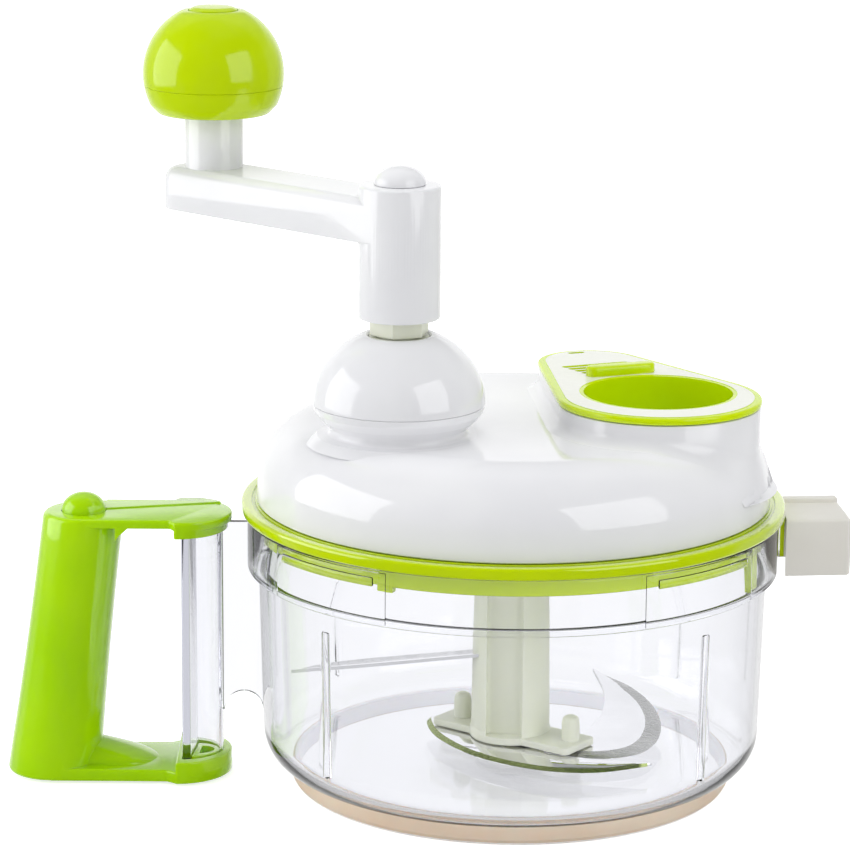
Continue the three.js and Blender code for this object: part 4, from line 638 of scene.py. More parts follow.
def half_round(flat_x, radius, corner=0.0):
    """Half a disc whose flat side faces the grip, with rounded corners if asked."""
    if not corner:
        return arc(flat_x, 0, radius, -90, 90, 24)
    curve = arc(flat_x, 0, radius, -86, 86, 24)
    return rounded([(flat_x, -radius, corner), *curve, (flat_x, radius, corner)], closed=True)


post = tool(slab(half_round(POST_X, POST_R, 1.2), POST_LOW, POST_HIGH, 0.5))
inside = half_round(POST_X + POST_WALL, POST_R - 2 * POST_WALL, 1.5)
hollow = tool(slab(inside, POST_LOW - 1, POST_HIGH - 2.4))
web_outline = [
    (POST_X + POST_R - 1.1, 22), *arc(-89.6, 22, 6.4, 180, 0, 20), (-82, 22), (-82, 75.5),
    (-87, 75.5), (-87, 87.2), (POST_X + POST_R - 1.1, 87.2),
]
web = tool(moved(slab(web_outline, -1.5, 1.5, 0.35), turn=90, axis="X"))
join(bowl, post, web)
cut(bowl, hollow)
print("bowl with its post:", len(bowl.data.polygons), "faces")

# %% [markdown]
# Four round ribs run up the inside of the wall. Outside, four stretches of the skirt are a
# little thicker, and each carries the raised bar of a lock track. Light passes clear plastic
# almost unweakened, but a path tracer gives glass a dark shadow, so the bowl's shadow is
# turned off: the blades and the floor then get the light that they would really get.

# %% Ribs, pads and tracks
RIB_SPOTS, TRACK_SPOTS = (43, 137, 223, 317), (44, 136, 226, 313)


def tapered_rib(azimuth):
    """A thin cone that leans with the wall, its foot and top rounded."""
    bm = bmesh.new()
    bmesh.ops.create_cone(bm, cap_ends=True, segments=20, radius1=1.7, radius2=1.6, depth=49)
    moved(bm, (wall_radius(40) - WALL + 0.3, 0, 41), 1.1, "Y")
    soften(bm, lambda edge: edge.calc_length() < 1, 0.5, 2)
    return moved(bm, turn=azimuth)


def ring_sector(inner, outer, low, high, start, end, bevel, steps=24):
    """A curved bar between two radii, two heights and two angles."""
    outline = arc(0, 0, inner, start, end, steps) + arc(0, 0, outer, end, start, steps)
    return slab(outline, low, high, bevel, 2)


for azimuth in RIB_SPOTS:
    join(bowl, tool(tapered_rib(azimuth)))
for spot in TRACK_SPOTS:
    pad = ring_sector(87, SKIRT_R + 0.4, SKIRT_Z + 0.8, RIM_Z - 0.6, spot - 16, spot + 16, 0.3)
    track = ring_sector(SKIRT_R, SKIRT_R + 1.1, 86.4, 89.4, spot - 13.2, spot + 13.2, 0.5)
    join(bowl, tool(pad), tool(track))
place(bowl, "bowl_clear", "base", ["bowl"], CLEAR, "clear_plastic")
bowl.visible_shadow = False

# %% [markdown]
# ## The handle
#
# The grip is an oval column that leans outwards and swells towards its foot. It starts as a
# circle and is extruded station by station, each new rim scaled and shifted. The two arms
# are plates cut to an outline, with a half-round cap above the post and a socket below it.

# %% Grip column
HANDLE_TOP, HANDLE_LOW = 90.6, 0.8
GRIP_TOP_X, GRIP_LEAN = -142.7, 11.1


def station(z, inset=0.0):
    """Where the grip's rim lies at a height, as a placement of a unit circle."""
    share = (z - HANDLE_LOW) / (HANDLE_TOP - HANDLE_LOW)
    half_length, half_width = 15.6 - 2.3 * share - inset, 16.0 - 2.4 * share - inset
    shift = Matrix.Translation((GRIP_TOP_X - GRIP_LEAN * (1 - share), 0, z))
    return shift @ Matrix.Diagonal((half_length, half_width, 1, 1))


def column(places, segments=96):
    """A closed column through a list of placements of one unit circle."""
    bm = bmesh.new()
    bmesh.ops.create_circle(bm, cap_ends=True, segments=segments, radius=1.0)
    bmesh.ops.transform(bm, matrix=places[0], verts=bm.verts)
    cap = bm.faces[:]
    for before, after in zip(places, places[1:]):
        grown = bmesh.ops.extrude_face_region(bm, geom=cap)["geom"]
        shift = after @ before.inverted()
        bmesh.ops.transform(bm, matrix=shift, verts=only(grown, bmesh.types.BMVert))
        if before is not places[0]:
            bmesh.ops.delete(bm, geom=cap, context="FACES_ONLY")
        cap = only(grown, bmesh.types.BMFace)
    bmesh.ops.recalc_face_normals(bm, faces=bm.faces)
    return bm


def rims(low, high, radius):
    """Heights and insets that round both ends of a column."""
    insets = [(radius * (1 - math.sin(t)), radius * (1 - math.cos(t))) for t in quarter(5)]
    lower = [(low + z, inset) for z, inset in reversed(insets)]
    return lower, [(high - z, inset) for z, inset in insets]


lower, upper = rims(HANDLE_LOW, HANDLE_TOP, 1.6)
middle = [(z, 0.45 * math.sin(math.pi * (z - 3) / 84)) for z in range(10, 84, 8)]
grip = column([station(z, inset) for z, inset in lower + middle + upper])
print("grip column:", len(grip.faces), "faces")

# %% Arms of the handle
TOP_HALF, LOW_HALF = 13.5, 15.5
top_outline = rounded([
    (GRIP_TOP_X, -TOP_HALF), (-113.5, -TOP_HALF, 1.2), (-111.8, -16.6, 1.2), (-110, -16.6),
    *arc(-110, 0, 16.6, -86, 86, 28), (-110, 16.6), (-111.8, 16.6, 1.2), (-113.5, TOP_HALF, 1.2),
    (GRIP_TOP_X, TOP_HALF),
], closed=True, steps=4)
top_arm = slab(top_outline, 87.6, HANDLE_TOP, 0.7)
cap_rim = slab(half_round(-111.8, 17.0, 0.8), 85.0, 90.2, 0.6)
cap_room = slab(half_round(POST_X - 0.3, POST_R + 0.4), 84, 87.5)
step_outline = rounded([
    (-136, 1.0), (-97.0, 10.4, 0.8), (-99.6, 13.2, 2), (-104.5, 15.9, 4), (-111.5, 15.9, 0.6),
    (-113.3, 12.8, 0.8), (-136, 12.8, 0.6),
], closed=True)
top_step = slab(step_outline, 90.0, 91.0, 0.2, 2, top_only=True)
gusset_outline = rounded([
    (-131.4, 88.4), (-131.4, 83.4), (-130.2, 85.0, 0.6), (-127, 87.9, 0.6), (-126.6, 88.4),
], closed=True)
gussets = [moved(slab(gusset_outline, -1.5, 1.5, 0.5), (0, y, 0), 90, "X") for y in (-12, 12)]
low_outline = rounded([
    (-153.8, -LOW_HALF), (-115, -LOW_HALF, 1.5), (-111.7, -18, 1.5),
    *arc(-111.7, 0, 18, -84, 84, 28), (-111.7, 18, 1.5), (-115, LOW_HALF, 1.5), (-153.8, LOW_HALF),
], closed=True, steps=4)
low_arm = slab(low_outline, HANDLE_LOW, 5.0, 0.7)
socket = slab(half_round(-111.8, 18.0, 0.8), HANDLE_LOW, 8.2, 0.7)
socket_room = slab(half_round(POST_X - 0.3, POST_R + 0.4), 3.2, 10)
boss = slab(half_round(-107.2, 8.3, 1.0), 2.7, 8.2, 0.4)
boss_room = slab(half_round(-105.4, 4.7, 0.8), 3.7, 10)
print("the top arm's outline has", len(top_outline), "points")

# %% [markdown]
# On the lower arm a soft fairing runs from the grip towards the post, like the back of a
# spoon. It is a column again, of flattened circles that shrink along the arm, laid on its
# side.

# %% Fairing and the joined handle
def fairing_station(share):
    """The same for the fairing, from 0 inside the grip to 1 at its tip."""
    width = 10.5 * math.sqrt(max(0.02, 1 - max(0.0, (share - 0.55) / 0.46) ** 2))
    height = 5.8 * (1 - share) + 3.2 * math.sqrt(max(0.02, 1 - share ** 2))
    lay_down = Matrix.Rotation(math.radians(90), 4, "Y")
    squeeze = Matrix.Diagonal((height, width, 1, 1))
    return Matrix.Translation((-145 + 26.6 * share, 0, 4.4)) @ lay_down @ squeeze


fairing = column([fairing_station(k / 16) for k in range(17)], 48)
bmesh.ops.bisect_plane(fairing, geom=fairing.verts[:] + fairing.edges[:] + fairing.faces[:],
                       plane_co=(0, 0, 4.2), plane_no=(0, 0, -1), clear_outer=True)
bmesh.ops.holes_fill(fairing, edges=[e for e in fairing.edges if len(e.link_faces) == 1], sides=0)
bmesh.ops.recalc_face_normals(fairing, faces=fairing.faces)
handle = as_object(top_arm, "handle_grip", BOWL)
join(handle, tool(cap_rim))
cut(handle, tool(cap_room))
lower_part = join(tool(low_arm), tool(socket))
cut(lower_part, tool(socket_room))
join(lower_part, tool(fairing))
bosses = cut(tool(boss), tool(boss_room))
join(handle, *[tool(bm) for bm in (grip, top_step, *gussets)], lower_part, bosses)
WELL_R, WELL_LOW = 7.5, 87.2
button_well = turned([(0, WELL_LOW), (WELL_R, WELL_LOW), (WELL_R, 92), (0, 92)], steps=64)
cut(handle, tool(moved(button_well, (GRIP_TOP_X, 0, 0))))
place(handle, "handle_grip", "base", ["handle"], LIME, "lime_plastic")

# %% [markdown]
# The button that frees the handle is a small dome on a hollow stem, which takes the spring in
# when it is pressed. Its edge has a fine chamfer, so that it catches a line of light.

# %% Button
button_profile = rounded([
    (0, 88.2), (4.6, 88.2), (4.6, 84.6), (5.6, 84.6, 0.3), (5.6, 90.0), (7.3, 90.0, 0.1),
    (7.35, 90.6, 0.2), *crown(7.35, 90.9, 5.8, 4, 5), (0, 96.7),
])
place(moved(turned(button_profile, steps=72), (GRIP_TOP_X, 0, 0)), "handle_button_dome", "button",
      ["handle_button"], LIME, "lime_plastic", BOWL)

# %% [markdown]
# ## The lock ring
#
# The ring is a flat rim with a dark groove beside the lid, and a skirt that dips into the
# bowl. Lugs hang from the skirt and grip the bowl's tracks, and a curved tab carries the
# thumb grip.

# %% Lock ring
ring_profile = rounded([
    (81.5, 93.5, 0.3), (83.1, 93.5), (83.1, 86, 0.5), (85.3, 86, 0.6), (85.3, 92.2, 0.4),
    (90.2, 92.2, 1.2), (90.2, 96.2, 1.1), (86.7, 96.2, 0.3), (86.7, 95.4, 0.2), (85.7, 95.4, 0.2),
    (85.7, 96.2, 0.2), (81.5, 96.2, 0.3),
], closed=True, steps=4)
lug_feet = {62: 77.5, 152: 77.5, 241: 84.2, 333.5: 75.5}
lugs = [ring_sector(83.1, 85.3, foot, 87, azimuth - 1.8, azimuth + 1.8, 0.4, 6)
        for azimuth, foot in lug_feet.items()]
tab = ring_sector(88.8, 90.2, 77, 93, -2.2, 12.8, 0.4, 12)
place(merged(turned(ring_profile, closed=True, steps=160), *lugs, tab), "lock_ring_lime", "ring",
      ["lock_ring"], YELLOW_LIME, "lime_plastic", BOWL)

# %% [markdown]
# The thumb grip is a hollow block with soft vertical corners and a low lip along its rear
# edge. Its inner face follows the ring.

# %% Thumb grip
THUMB_TURN = 5.3


def box_outline(near, far, half, radius, steps):
    """A rectangle that reaches outwards along X, its two outer corners rounded."""
    corners = [(near, -half), (far, -half, radius), (far, half, radius), (near, half)]
    return rounded(corners, True, steps)


block = as_object(slab(box_outline(84.8, 111.8, 13.5, 1.6, 6), 70.6, 89.9, 0.9, 4), "block")
lip_outline = rounded([(86.8, 9.5), (111.5, 9.5, 1.0), (111.5, 13.5, 1.0), (86.8, 13.5)], True)
join(block, as_object(slab(lip_outline, 89, 91.5, 0.7), "tool"))
room = slab(box_outline(84.8, 110, 11.1, 1.2, 4), 70, 87.5, 0.5)
ring_round = turned([(0, 60), (90.8, 60), (90.8, 100), (0, 100)], steps=160)
cut(block, as_object(room, "tool"), as_object(ring_round, "tool"))
settle(block, BOWL, THUMB_TURN)
place(block, "thumb_grip_block", "ring", ["thumb_grip"], GREY_WHITE, "ivory_plastic")

# %% [markdown]
# ## The lid
#
# The dome is thin: a straight rim, a round shoulder and a flat top. Outside and inside are
# drawn in one profile. The gear housing stands on it off-centre, and the feed chute is a
# teardrop tube with walls that reach down to the gear plate.

# %% Dome and housing
LID_R, LID_LOW, LID_TOP, LID_WALL = 85.2, 96.5, 124.0, 2.2
FLAT_R, SHOULDER_LOW, SHOULDER_R = 62.0, 104.5, LID_R - 0.6


def dome_height(radius):
    """Height of the dome's outside above a distance from the bowl's axis."""
    share = min(1.0, max(0.0, (radius - FLAT_R) / (SHOULDER_R - FLAT_R)))
    return SHOULDER_LOW + (LID_TOP - SHOULDER_LOW) * math.sqrt(1 - share * share)


def dome_curve(inset):
    """The round shoulder, from its side to the flat top."""
    rise, reach = LID_TOP - SHOULDER_LOW - inset, SHOULDER_R - FLAT_R - inset
    return [(FLAT_R + reach * math.cos(t), SHOULDER_LOW + rise * math.sin(t)) for t in quarter(20)]


dome_profile = [
    (0, LID_TOP - LID_WALL), *reversed(dome_curve(LID_WALL)), (LID_R - LID_WALL, LID_LOW),
    (LID_R - 0.4, LID_LOW), (LID_R, LID_LOW + 0.4), *dome_curve(0), (0, LID_TOP),
]
lid = as_object(turned(dome_profile, steps=160), "lid_dome", BOWL)
housing_profile = rounded([
    (0, 121), (30, 121), (26.5, 123.9), (22.6, 124.35, 2.2), (22.2, 126.2, 2.0), (25.4, 129.2, 5),
    (27.5, 131.8, 3), (28.05, 133.9, 0.1), (27.85, 134.1, 0.1), (25.3, 134.1), (25.3, 130.9),
    (14.2, 130.9), (14.2, 134.0), (10.1, 134.0), (10.1, 110), (0, 110),
], steps=6)
print("dome height at the chute's outer end: %.1f mm" % dome_height(80))

# %% Teardrop of the chute
BIG_END, BIG_R, SMALL_R = (47.0, -14.0), 33.2, 18.0
CHUTE_TURN, CHUTE_LENGTH = 111.0, 55.5
CHUTE_TOP, CHUTE_WALL = 131.6, 2.4


def teardrop(offset):
    """The chute's outline, grown by an offset: a large arc and a small one."""
    taper = math.degrees(math.asin((BIG_R - SMALL_R) / CHUTE_LENGTH))
    dx, dy = polar(CHUTE_LENGTH, CHUTE_TURN)
    start, end = CHUTE_TURN + 90 - taper, CHUTE_TURN + 270 + taper
    return (arc(*BIG_END, BIG_R + offset, start, end, 40)
            + arc(BIG_END[0] + dx, BIG_END[1] + dy, SMALL_R + offset, end - 360, start, 22))


def drum(radius, low, high):
    """A plain cylinder about Z."""
    return turned([(0, low), (radius, low), (radius, high), (0, high)], steps=64)


housing = tool(turned(housing_profile, steps=112), CRANK)
cut(lid, tool(slab(teardrop(-1.2), 90, 140)), tool(drum(13, 100, 140), CRANK))
chute = tool(slab(teardrop(0), 98, CHUTE_TOP, 0.5, 3, top_only=True))
bore = cut(tool(slab(teardrop(-CHUTE_WALL), 90, 118)), tool(drum(18.2, 90, 119)))
cut(chute, tool(slab(teardrop(-CHUTE_WALL), 117, 140)), bore)
print("chute:", len(chute.data.polygons), "faces")

# %% [markdown]
# Round the foot of the chute the lid swells into a soft flare. Its upper line runs a few
# millimetres above the dome and follows it down over the shoulder. A loop of edges is
# extruded outwards ring by ring, and each ring is dropped on the dome.

# %% Flare of the chute
FLARE_REACH, FLARE_RISE, FLARE_RINGS = 6.0, 4.2, 9


def flare():
    """A skin that leaves the chute's wall and sinks into the dome."""
    bm = bmesh.new()
    verts = [bm.verts.new((x, y, 0)) for x, y in teardrop(0)]
    loop = [bm.edges.new(pair) for pair in zip(verts, verts[1:] + verts[:1])]
    for k, turn in enumerate(quarter(FLARE_RINGS)):
        ring = teardrop(FLARE_REACH * (1 - math.cos(turn)) if k else 0.02)
        drop = FLARE_RISE * (1 - math.sin(turn)) - 0.35 * k / FLARE_RINGS
        if k:
            grown = bmesh.ops.extrude_edge_only(bm, edges=loop)["geom"]
            loop, verts = only(grown, bmesh.types.BMEdge), only(grown, bmesh.types.BMVert)
        for vert, (x, y) in zip(verts, ring):
            vert.co = (x, y, dome_height(min(math.hypot(x, y), SHOULDER_R)) + drop)
    bmesh.ops.recalc_face_normals(bm, faces=bm.faces)
    return bm


absorb(lid, housing, chute, tool(flare()))
place(lid, "lid_dome_white", "lid", ["lid_shell"], WHITE, "white_plastic", sharp=28)

# %% [markdown]
# ## The gear cover
#
# A rounded cover sits on the housing with a fine seam between them. Its top is open where
# the crank's bushing comes up.

# %% Gear cover
COVER_LOW, COVER_TURN = 134.35, 1.113


def cover_curve(radius, rise, count):
    """The cover's round side, from its seam to the opening in its top."""
    turns = [COVER_TURN * k / count for k in range(count + 1)]
    rise /= math.sin(COVER_TURN)
    return [(radius * math.cos(turn), COVER_LOW + rise * math.sin(turn)) for turn in turns]


cover_profile = [
    (23.2, 131.4), (25, 131.4), (25, 134.2), (27.85, 134.2), *cover_curve(28.05, 22.1, 20),
    (11.6, 156.75), (10.6, 156.6), (10.1, 156.0), (10.1, 154.2),
    *cover_curve(25.85, 19.9, 12)[:0:-1], (23.2, 136.3),
]
place(turned(cover_profile, closed=True, steps=112), "gear_cover_white", "lid", ["gear_cover"],
      WHITE, "white_plastic", CRANK)

# %% [markdown]
# ## Crank shaft, arm and cap
#
# An ivory hexagon shows between the cover and the crank. The crank is one white moulding: a
# tall hub, a flat arm with its upper edges rounded, and a spindle for the knob. A small dome
# plugs the hub.

# %% Crank shaft
def hexagon(radius):
    """Six corners at a distance from zero."""
    return [polar(radius, 60 * k) for k in range(6)]


collar = slab(hexagon(9.9), 156.7, 161.9, 0.5)
journal = turned(rounded([(0, 104.9), (7.2, 104.9, 0.3), (7.2, 157, 0.3), (0, 157)]), steps=64)
gear_end = slab(hexagon(6.6), 98.0, 106)
drive = slab(hexagon(6.2), 161, 192.2, 0.4)
place(moved(merged(collar, journal, gear_end, drive), turn=ARM_TURN), "crank_shaft_ivory", "crank",
      ["crank_shaft"], IVORY, "ivory_plastic", CRANK)

# %% Crank arm
ARM_TOP, ARM_LOW, ARM_HALF = 201.6, 187.4, 13.3
arm_outline = arc(0, 0, ARM_HALF, 90, 270, 40) + rounded([
    (ARM_LENGTH - 2, -ARM_HALF), (ARM_LENGTH + 14.6, -ARM_HALF, 9),
    (ARM_LENGTH + 14.6, ARM_HALF, 9), (ARM_LENGTH - 2, ARM_HALF),
], steps=14)
arm = slab(arm_outline, ARM_LOW, ARM_TOP)
soften(arm, level(ARM_TOP), 4.4, 7)
soften(arm, level(ARM_LOW), 0.6, 3)
hub_profile = rounded([
    (0, 175), (6.9, 175), (6.9, 162.2), (12.9, 162.2), (13.3, 162.6, 0.5), (13.3, 205.4, 0.9),
    (0, 205.4),
])
spindle_profile = rounded([
    (0, 190), (9.7, 190), (9.7, 219.3, 0.8), (6.2, 219.3), (6.2, 243), (0, 243),
])
hub = as_object(turned(hub_profile, steps=96), "tool")
spindle = as_object(moved(turned(spindle_profile, steps=80), (ARM_LENGTH, 0, 0)), "tool")
crank = join(as_object(arm, "crank_arm_white"), hub, spindle)
settle(crank, CRANK, ARM_TURN)
place(crank, "crank_arm_white", "crank", ["crank_arm"], WHITE, "white_plastic", sharp=35)

# %% Crank cap
cap_profile = rounded([
    (0, 201.4), (6, 201.4), (6, 205.5), (8.3, 205.5, 0.2), (8.4, 205.9, 0.3),
    *crown(8.4, 206.0, 5.5, 6, 4), (0, 211.5),
])
place(turned(cap_profile, steps=72), "crank_cap_dome", "crank", ["crank_cap"], WHITE,
      "white_plastic", CRANK)

# %% [markdown]
# ## The knob
#
# The knob is a ball in two halves with a hairline seam below its middle and a flat underside.
# A shallow round cap closes the top. The seam is real: the upper shell ends in a small
# rounded edge just above the lower one.

# %% Knob
KNOB_R, KNOB_Z, SEAM_Z = 23.4, 232.6, 228.8


def ball_curve(low, high, count):
    """The ball's side between two heights."""
    start, end = (math.asin((z - KNOB_Z) / KNOB_R) for z in (low, high))
    turn = [start + (end - start) * k / count for k in range(count + 1)]
    return [(KNOB_R * math.cos(t), KNOB_Z + KNOB_R * math.sin(t)) for t in turn]


foot = rounded([(10, 219.6), (18.4, 219.6, 1.6), ball_curve(222.4, SEAM_Z, 1)[0]])
lower_ball = [(6.6, 219.6), *foot[1:], *ball_curve(222.4, SEAM_Z - 0.22, 10)[1:],
              (22.9, SEAM_Z - 0.06), (6.6, SEAM_Z - 0.06)]
upper_ball = [(6.6, SEAM_Z), (22.95, SEAM_Z), *ball_curve(SEAM_Z + 0.16, 253.5, 30), (8.4, 253.7),
              (8.3, 253.4), (8.3, 241.3), (6.6, 241.3)]
knob_cap = rounded([(0, 251), (8.0, 251), (8.0, 254.0, 0.4), (6.5, 254.75, 3), (0, 255.1)])
for bm, name, node in (
        (turned(lower_ball, closed=True), "knob_lower_half", "knob_lower"),
        (turned(upper_ball, closed=True), "knob_upper_half", "knob_upper"),
        (turned(knob_cap, steps=72), "knob_cap_disc", "knob_cap")):
    place(bm, name, "knob", [node], KNOB_LIME, "lime_plastic", KNOB)

# %% [markdown]
# ## The blade shaft
#
# The shaft is a slightly tapered column of ivory plastic on two flat wings, with a wide
# channel down its front and back that keeps its walls even in the mould. Two rounded studs
# come up through the wings from the plate below and hold the blades.

# %% Blade shaft and studs
WING_TURN, WING_LOW, WING_TOP = 143, 13.9, 16.4
PLATE_BASE, PLATE_UPPER = 10.8, 12.1
column_profile = rounded([
    (0, WING_LOW), (13.6, WING_LOW, 0.4), (13.7, 16.2, 0.4), (13.2, 17.6, 1.0), (12.3, 90.6, 0.8),
    (7.4, 90.6, 0.4), (7.4, 80.2), (0, 80.2),
])
wing_outline = rounded([(-29, -8.6, 2), (26.8, -8.6, 2), (26.8, 8.6, 2), (-29, 8.6, 2)], True, 6)
channel = rounded([(8.2, -6.2, 1.6), (20, -6.2), (20, 6.2), (8.2, 6.2, 1.6)], closed=True)
shaft = as_object(turned(column_profile, steps=96), "shaft", BOWL)
cut(shaft, *[tool(moved(slab(channel, WING_TOP, 95), turn=azimuth)) for azimuth in (78, 258)])
join(shaft, tool(moved(slab(wing_outline, WING_LOW, WING_TOP, 0.5), turn=WING_TURN)))
place(shaft, "blade_shaft_ivory", "blades", ["blade_shaft"], IVORY, "ivory_plastic")
stud_profile = rounded([
    (0, 11.6), (3, 11.6), (2.95, 22, 0.3), (2.7, 24.2, 1.6), (1.2, 25, 0.8), (0, 25),
])
studs = [moved(turned(stud_profile, steps=40), (*polar(radius, azimuth), 0))
         for radius, azimuth in ((19.4, 145), (24.2, 325))]
bar = rounded([(-27.8, -6, 5.9), (27.8, -6, 5.9), (27.8, 6, 5.9), (-27.8, 6, 5.9)], True, 8)
retainer = moved(slab(bar, PLATE_BASE, PLATE_UPPER, 0.3), turn=WING_TURN)
washer = rounded([(7.4, PLATE_BASE, 0.2), (12, PLATE_BASE, 0.3), (12, PLATE_UPPER, 0.3),
                  (7.4, PLATE_UPPER, 0.2)], closed=True)
place(merged(retainer, turned(washer, True, 64), *studs), "blade_retainer_ivory", "blades",
      ["blade_retainer"], IVORY, "ivory_plastic", BOWL)

# %% [markdown]
# ## The blades
#
# A blade is thin sheet with its cutting edge ground from above. Its edge and its back are
# each a smooth curve through a few points, and they meet at the root and the tip. The edge is
# extruded twice, first to the line where the grinding ends and then to the back, and the
# ground strip gets its own finish. Extruding that surface down gives the sheet's thickness.

# %% Smooth lines
LINE_STEPS = 10


def smooth_line(points):
    """A Catmull-Rom curve through points."""
    padded = [points[0], *points, points[-1]]
    line = []
    for a, b, c, d in zip(padded, padded[1:], padded[2:], padded[3:]):
        a, b, c, d = map(Vector, (a, b, c, d))
        for k in range(LINE_STEPS):
            t = k / LINE_STEPS
            bend = (2 * a - 5 * b + 4 * c - d) * t * t + (3 * b - a - 3 * c + d) * t ** 3
            line.append(tuple(0.5 * (2 * b + (c - a) * t + bend)))
    return line + [tuple(points[-1])]


def evenly(line, count):
    """The same line with its points at even steps."""
    lengths = [0.0]
    for a, b in zip(line, line[1:]):
        lengths.append(lengths[-1] + (Vector(b) - Vector(a)).length)
    points, k = [], 0
    for step in range(count + 1):
        goal = lengths[-1] * step / count
        while k < len(line) - 2 and lengths[k + 1] < goal:
            k += 1
        share = (goal - lengths[k]) / max(1e-9, lengths[k + 1] - lengths[k])
        points.append(Vector(line[k]).lerp(Vector(line[k + 1]), share))
    return points


print("a line through 3 points gets", len(smooth_line([(0, 0), (1, 1), (2, 0)])), "points")

# %% Sheet with a ground edge
BLADE_THICK, EDGE_THICK, BLADE_STEPS = 1.1, 0.12, 72


def blade(outer, inner, low, grind):
    """Sheet from a cutting edge to a back edge, ground over a width of the edge."""
    edge = evenly(smooth_line(outer), BLADE_STEPS)
    back = evenly(smooth_line(inner)[::-1], BLADE_STEPS)
    ground = []
    for k, (a, b) in enumerate(zip(edge, back)):
        width = (b - a).length
        fade = min(1.0, 6 * math.sin(math.pi * k / BLADE_STEPS))
        reach = min(grind * fade, 0.45 * width)
        ground.append(a.lerp(b, reach / width) if width > 1e-6 else a.copy())
    bm = bmesh.new()
    verts = [bm.verts.new((p.x, p.y, low + EDGE_THICK)) for p in edge]
    row = [bm.edges.new(pair) for pair in zip(verts, verts[1:])]
    for line in (ground, back):
        grown = bmesh.ops.extrude_edge_only(bm, edges=row)["geom"]
        row = only(grown, bmesh.types.BMEdge)
        for vert, p in zip(only(grown, bmesh.types.BMVert), line):
            vert.co = (p.x, p.y, low + BLADE_THICK)
    grown = bmesh.ops.extrude_face_region(bm, geom=bm.faces[:])["geom"]
    for vert in only(grown, bmesh.types.BMVert):
        vert.co.z = low
    bmesh.ops.remove_doubles(bm, verts=bm.verts, dist=NEAR)
    bmesh.ops.recalc_face_normals(bm, faces=bm.faces)
    for face in bm.faces:
        face.material_index = 1 if 0.2 < face.normal.z < 0.99 else 0
    return bm


# %% [markdown]
# The front blade sweeps round the near side and ends in a long point. The rear blade is a
# sickle, bent up a few degrees beyond its root. The upper blade is a narrow leaf that droops
# from a slot in the shaft.

# %% Front and rear blades
BLADE_LOW, BEND_TURN = 12.4, 6
front_edge = [(-25, 21.5), (-28.2, 16), (-24, -2), (-10.5, -22), (9, -34.5), (28, -36.5), (46, -29)]
front_back = [(46, -29), (26, -26), (10, -21.5), (-2, -13.5), (-9, 0), (-11, 13), (-17, 21.5),
              (-25, 21.5)]
# The front blade's ground strip takes the lime-tinted steel, a painted reflection of the ring.
place(blade(front_edge, front_back, BLADE_LOW, 1.9), "front_blade_steel", "blades", ["front_blade"],
      BLADE, "blade_steel", BOWL, finishes=(LIME_REFLECTION_GROUND,))
rear_edge = [(11, -16), (20, -20), (32, -22), (44, -15), (51, 4), (50.5, 24), (43, 43), (30.3, 57)]
rear_back = [(30.3, 57), (33, 40), (33, 26), (29, 10), (21, -4), (14, -8), (11, -16)]
rear = blade(rear_edge, rear_back, BLADE_LOW, 6.0)
bend_line = polar(21.8, WING_TURN + 180)[1] + 12.2
for vert in rear.verts:
    vert.co.z += max(0.0, vert.co.y - bend_line) * math.tan(math.radians(BEND_TURN))
place(rear, "rear_blade_steel", "blades", ["rear_blade"], BLADE, "blade_steel", BOWL,
      finishes=(GREY_GROUND,))

# %% Upper blade
UPPER_Z, UPPER_PITCH, UPPER_DROOP, UPPER_TURN = 43.4, 7, 4.5, 184
upper = blade([(6.5, -6), (22, -6), (38, -6.5), (54, -6), (66, -2.5), (74, 5)],
              [(74, 5), (66, 5), (54, 6), (38, 6.2), (22, 6), (6.5, 6)], -BLADE_THICK / 2, 2.2)
for turn, about in ((UPPER_PITCH, "X"), (UPPER_DROOP, "Y"), (UPPER_TURN, "Z")):
    moved(upper, turn=turn, axis=about)
place(upper, "upper_blade_steel", "blades", ["upper_blade"], BLADE, "blade_steel",
      BOWL + Vector((0, 0, UPPER_Z)), finishes=(DARK_GROUND,))

# %% [markdown]
# ## The chute insert
#
# The insert is a teardrop plate with a rounded lime edge and a deep cup. A row of thin slots
# and a raised finger bar lie between the cup and the narrow end. The plate and the cup are
# fused, and the slots, the key slot and the drain are cut through. The flat field between
# the rim and the cup is nearly white, so it is raised a hair and its top gets a second finish.

# %% Insert
PLATE_LOW, PLATE_TOP, FIELD_TOP = 131.9, 134.1, 134.25
CUP_R, CUP_WIDEN, CUP_FLOOR, CUP_WALL = 14.6, 9.9, 110.1, 1.6
axis = Vector(polar(1, CHUTE_TURN))
cup_spot = (*(Vector(BIG_END) + axis * 5.6 + Vector((1.9, -0.3))), 0)


def cup_curve(wall):
    """The cup's side, from the rounded floor to the rim; wall is nought for its inside."""
    low, radius = CUP_FLOOR - wall, CUP_R + wall
    return [(radius + CUP_WIDEN * math.sin(t) ** 0.7, low + (PLATE_TOP - low) * (1 - math.cos(t)))
            for t in quarter(16)]


def cup_tool(profile):
    """A turned shape round the cup's own axis."""
    return tool(moved(turned(profile, steps=112), cup_spot))


insert = as_object(slab(teardrop(0.3), PLATE_LOW, PLATE_TOP, 0.7, 4), "insert", BOWL)
skirt = cut(tool(slab(teardrop(-3.0), PLATE_LOW - 4, PLATE_LOW + 0.4)),
            tool(slab(teardrop(-4.4), 120, PLATE_LOW + 1)))
outside = [point for point in cup_curve(CUP_WALL) if point[1] < 131.5]
join(insert, skirt, cup_tool([(0, CUP_FLOOR - CUP_WALL), *outside, (26.1, 132.2), (0, 132.2)]))
cut(insert, cup_tool(
    [(0, CUP_FLOOR), *cup_curve(0), (24.9, PLATE_TOP + 0.25), (25.0, 140), (0, 140)]))
print("plate and cup:", len(insert.data.polygons), "faces")

# %% Slots, white field and finger bar
SLOTS, SLOT_STEP = 5, 3.5


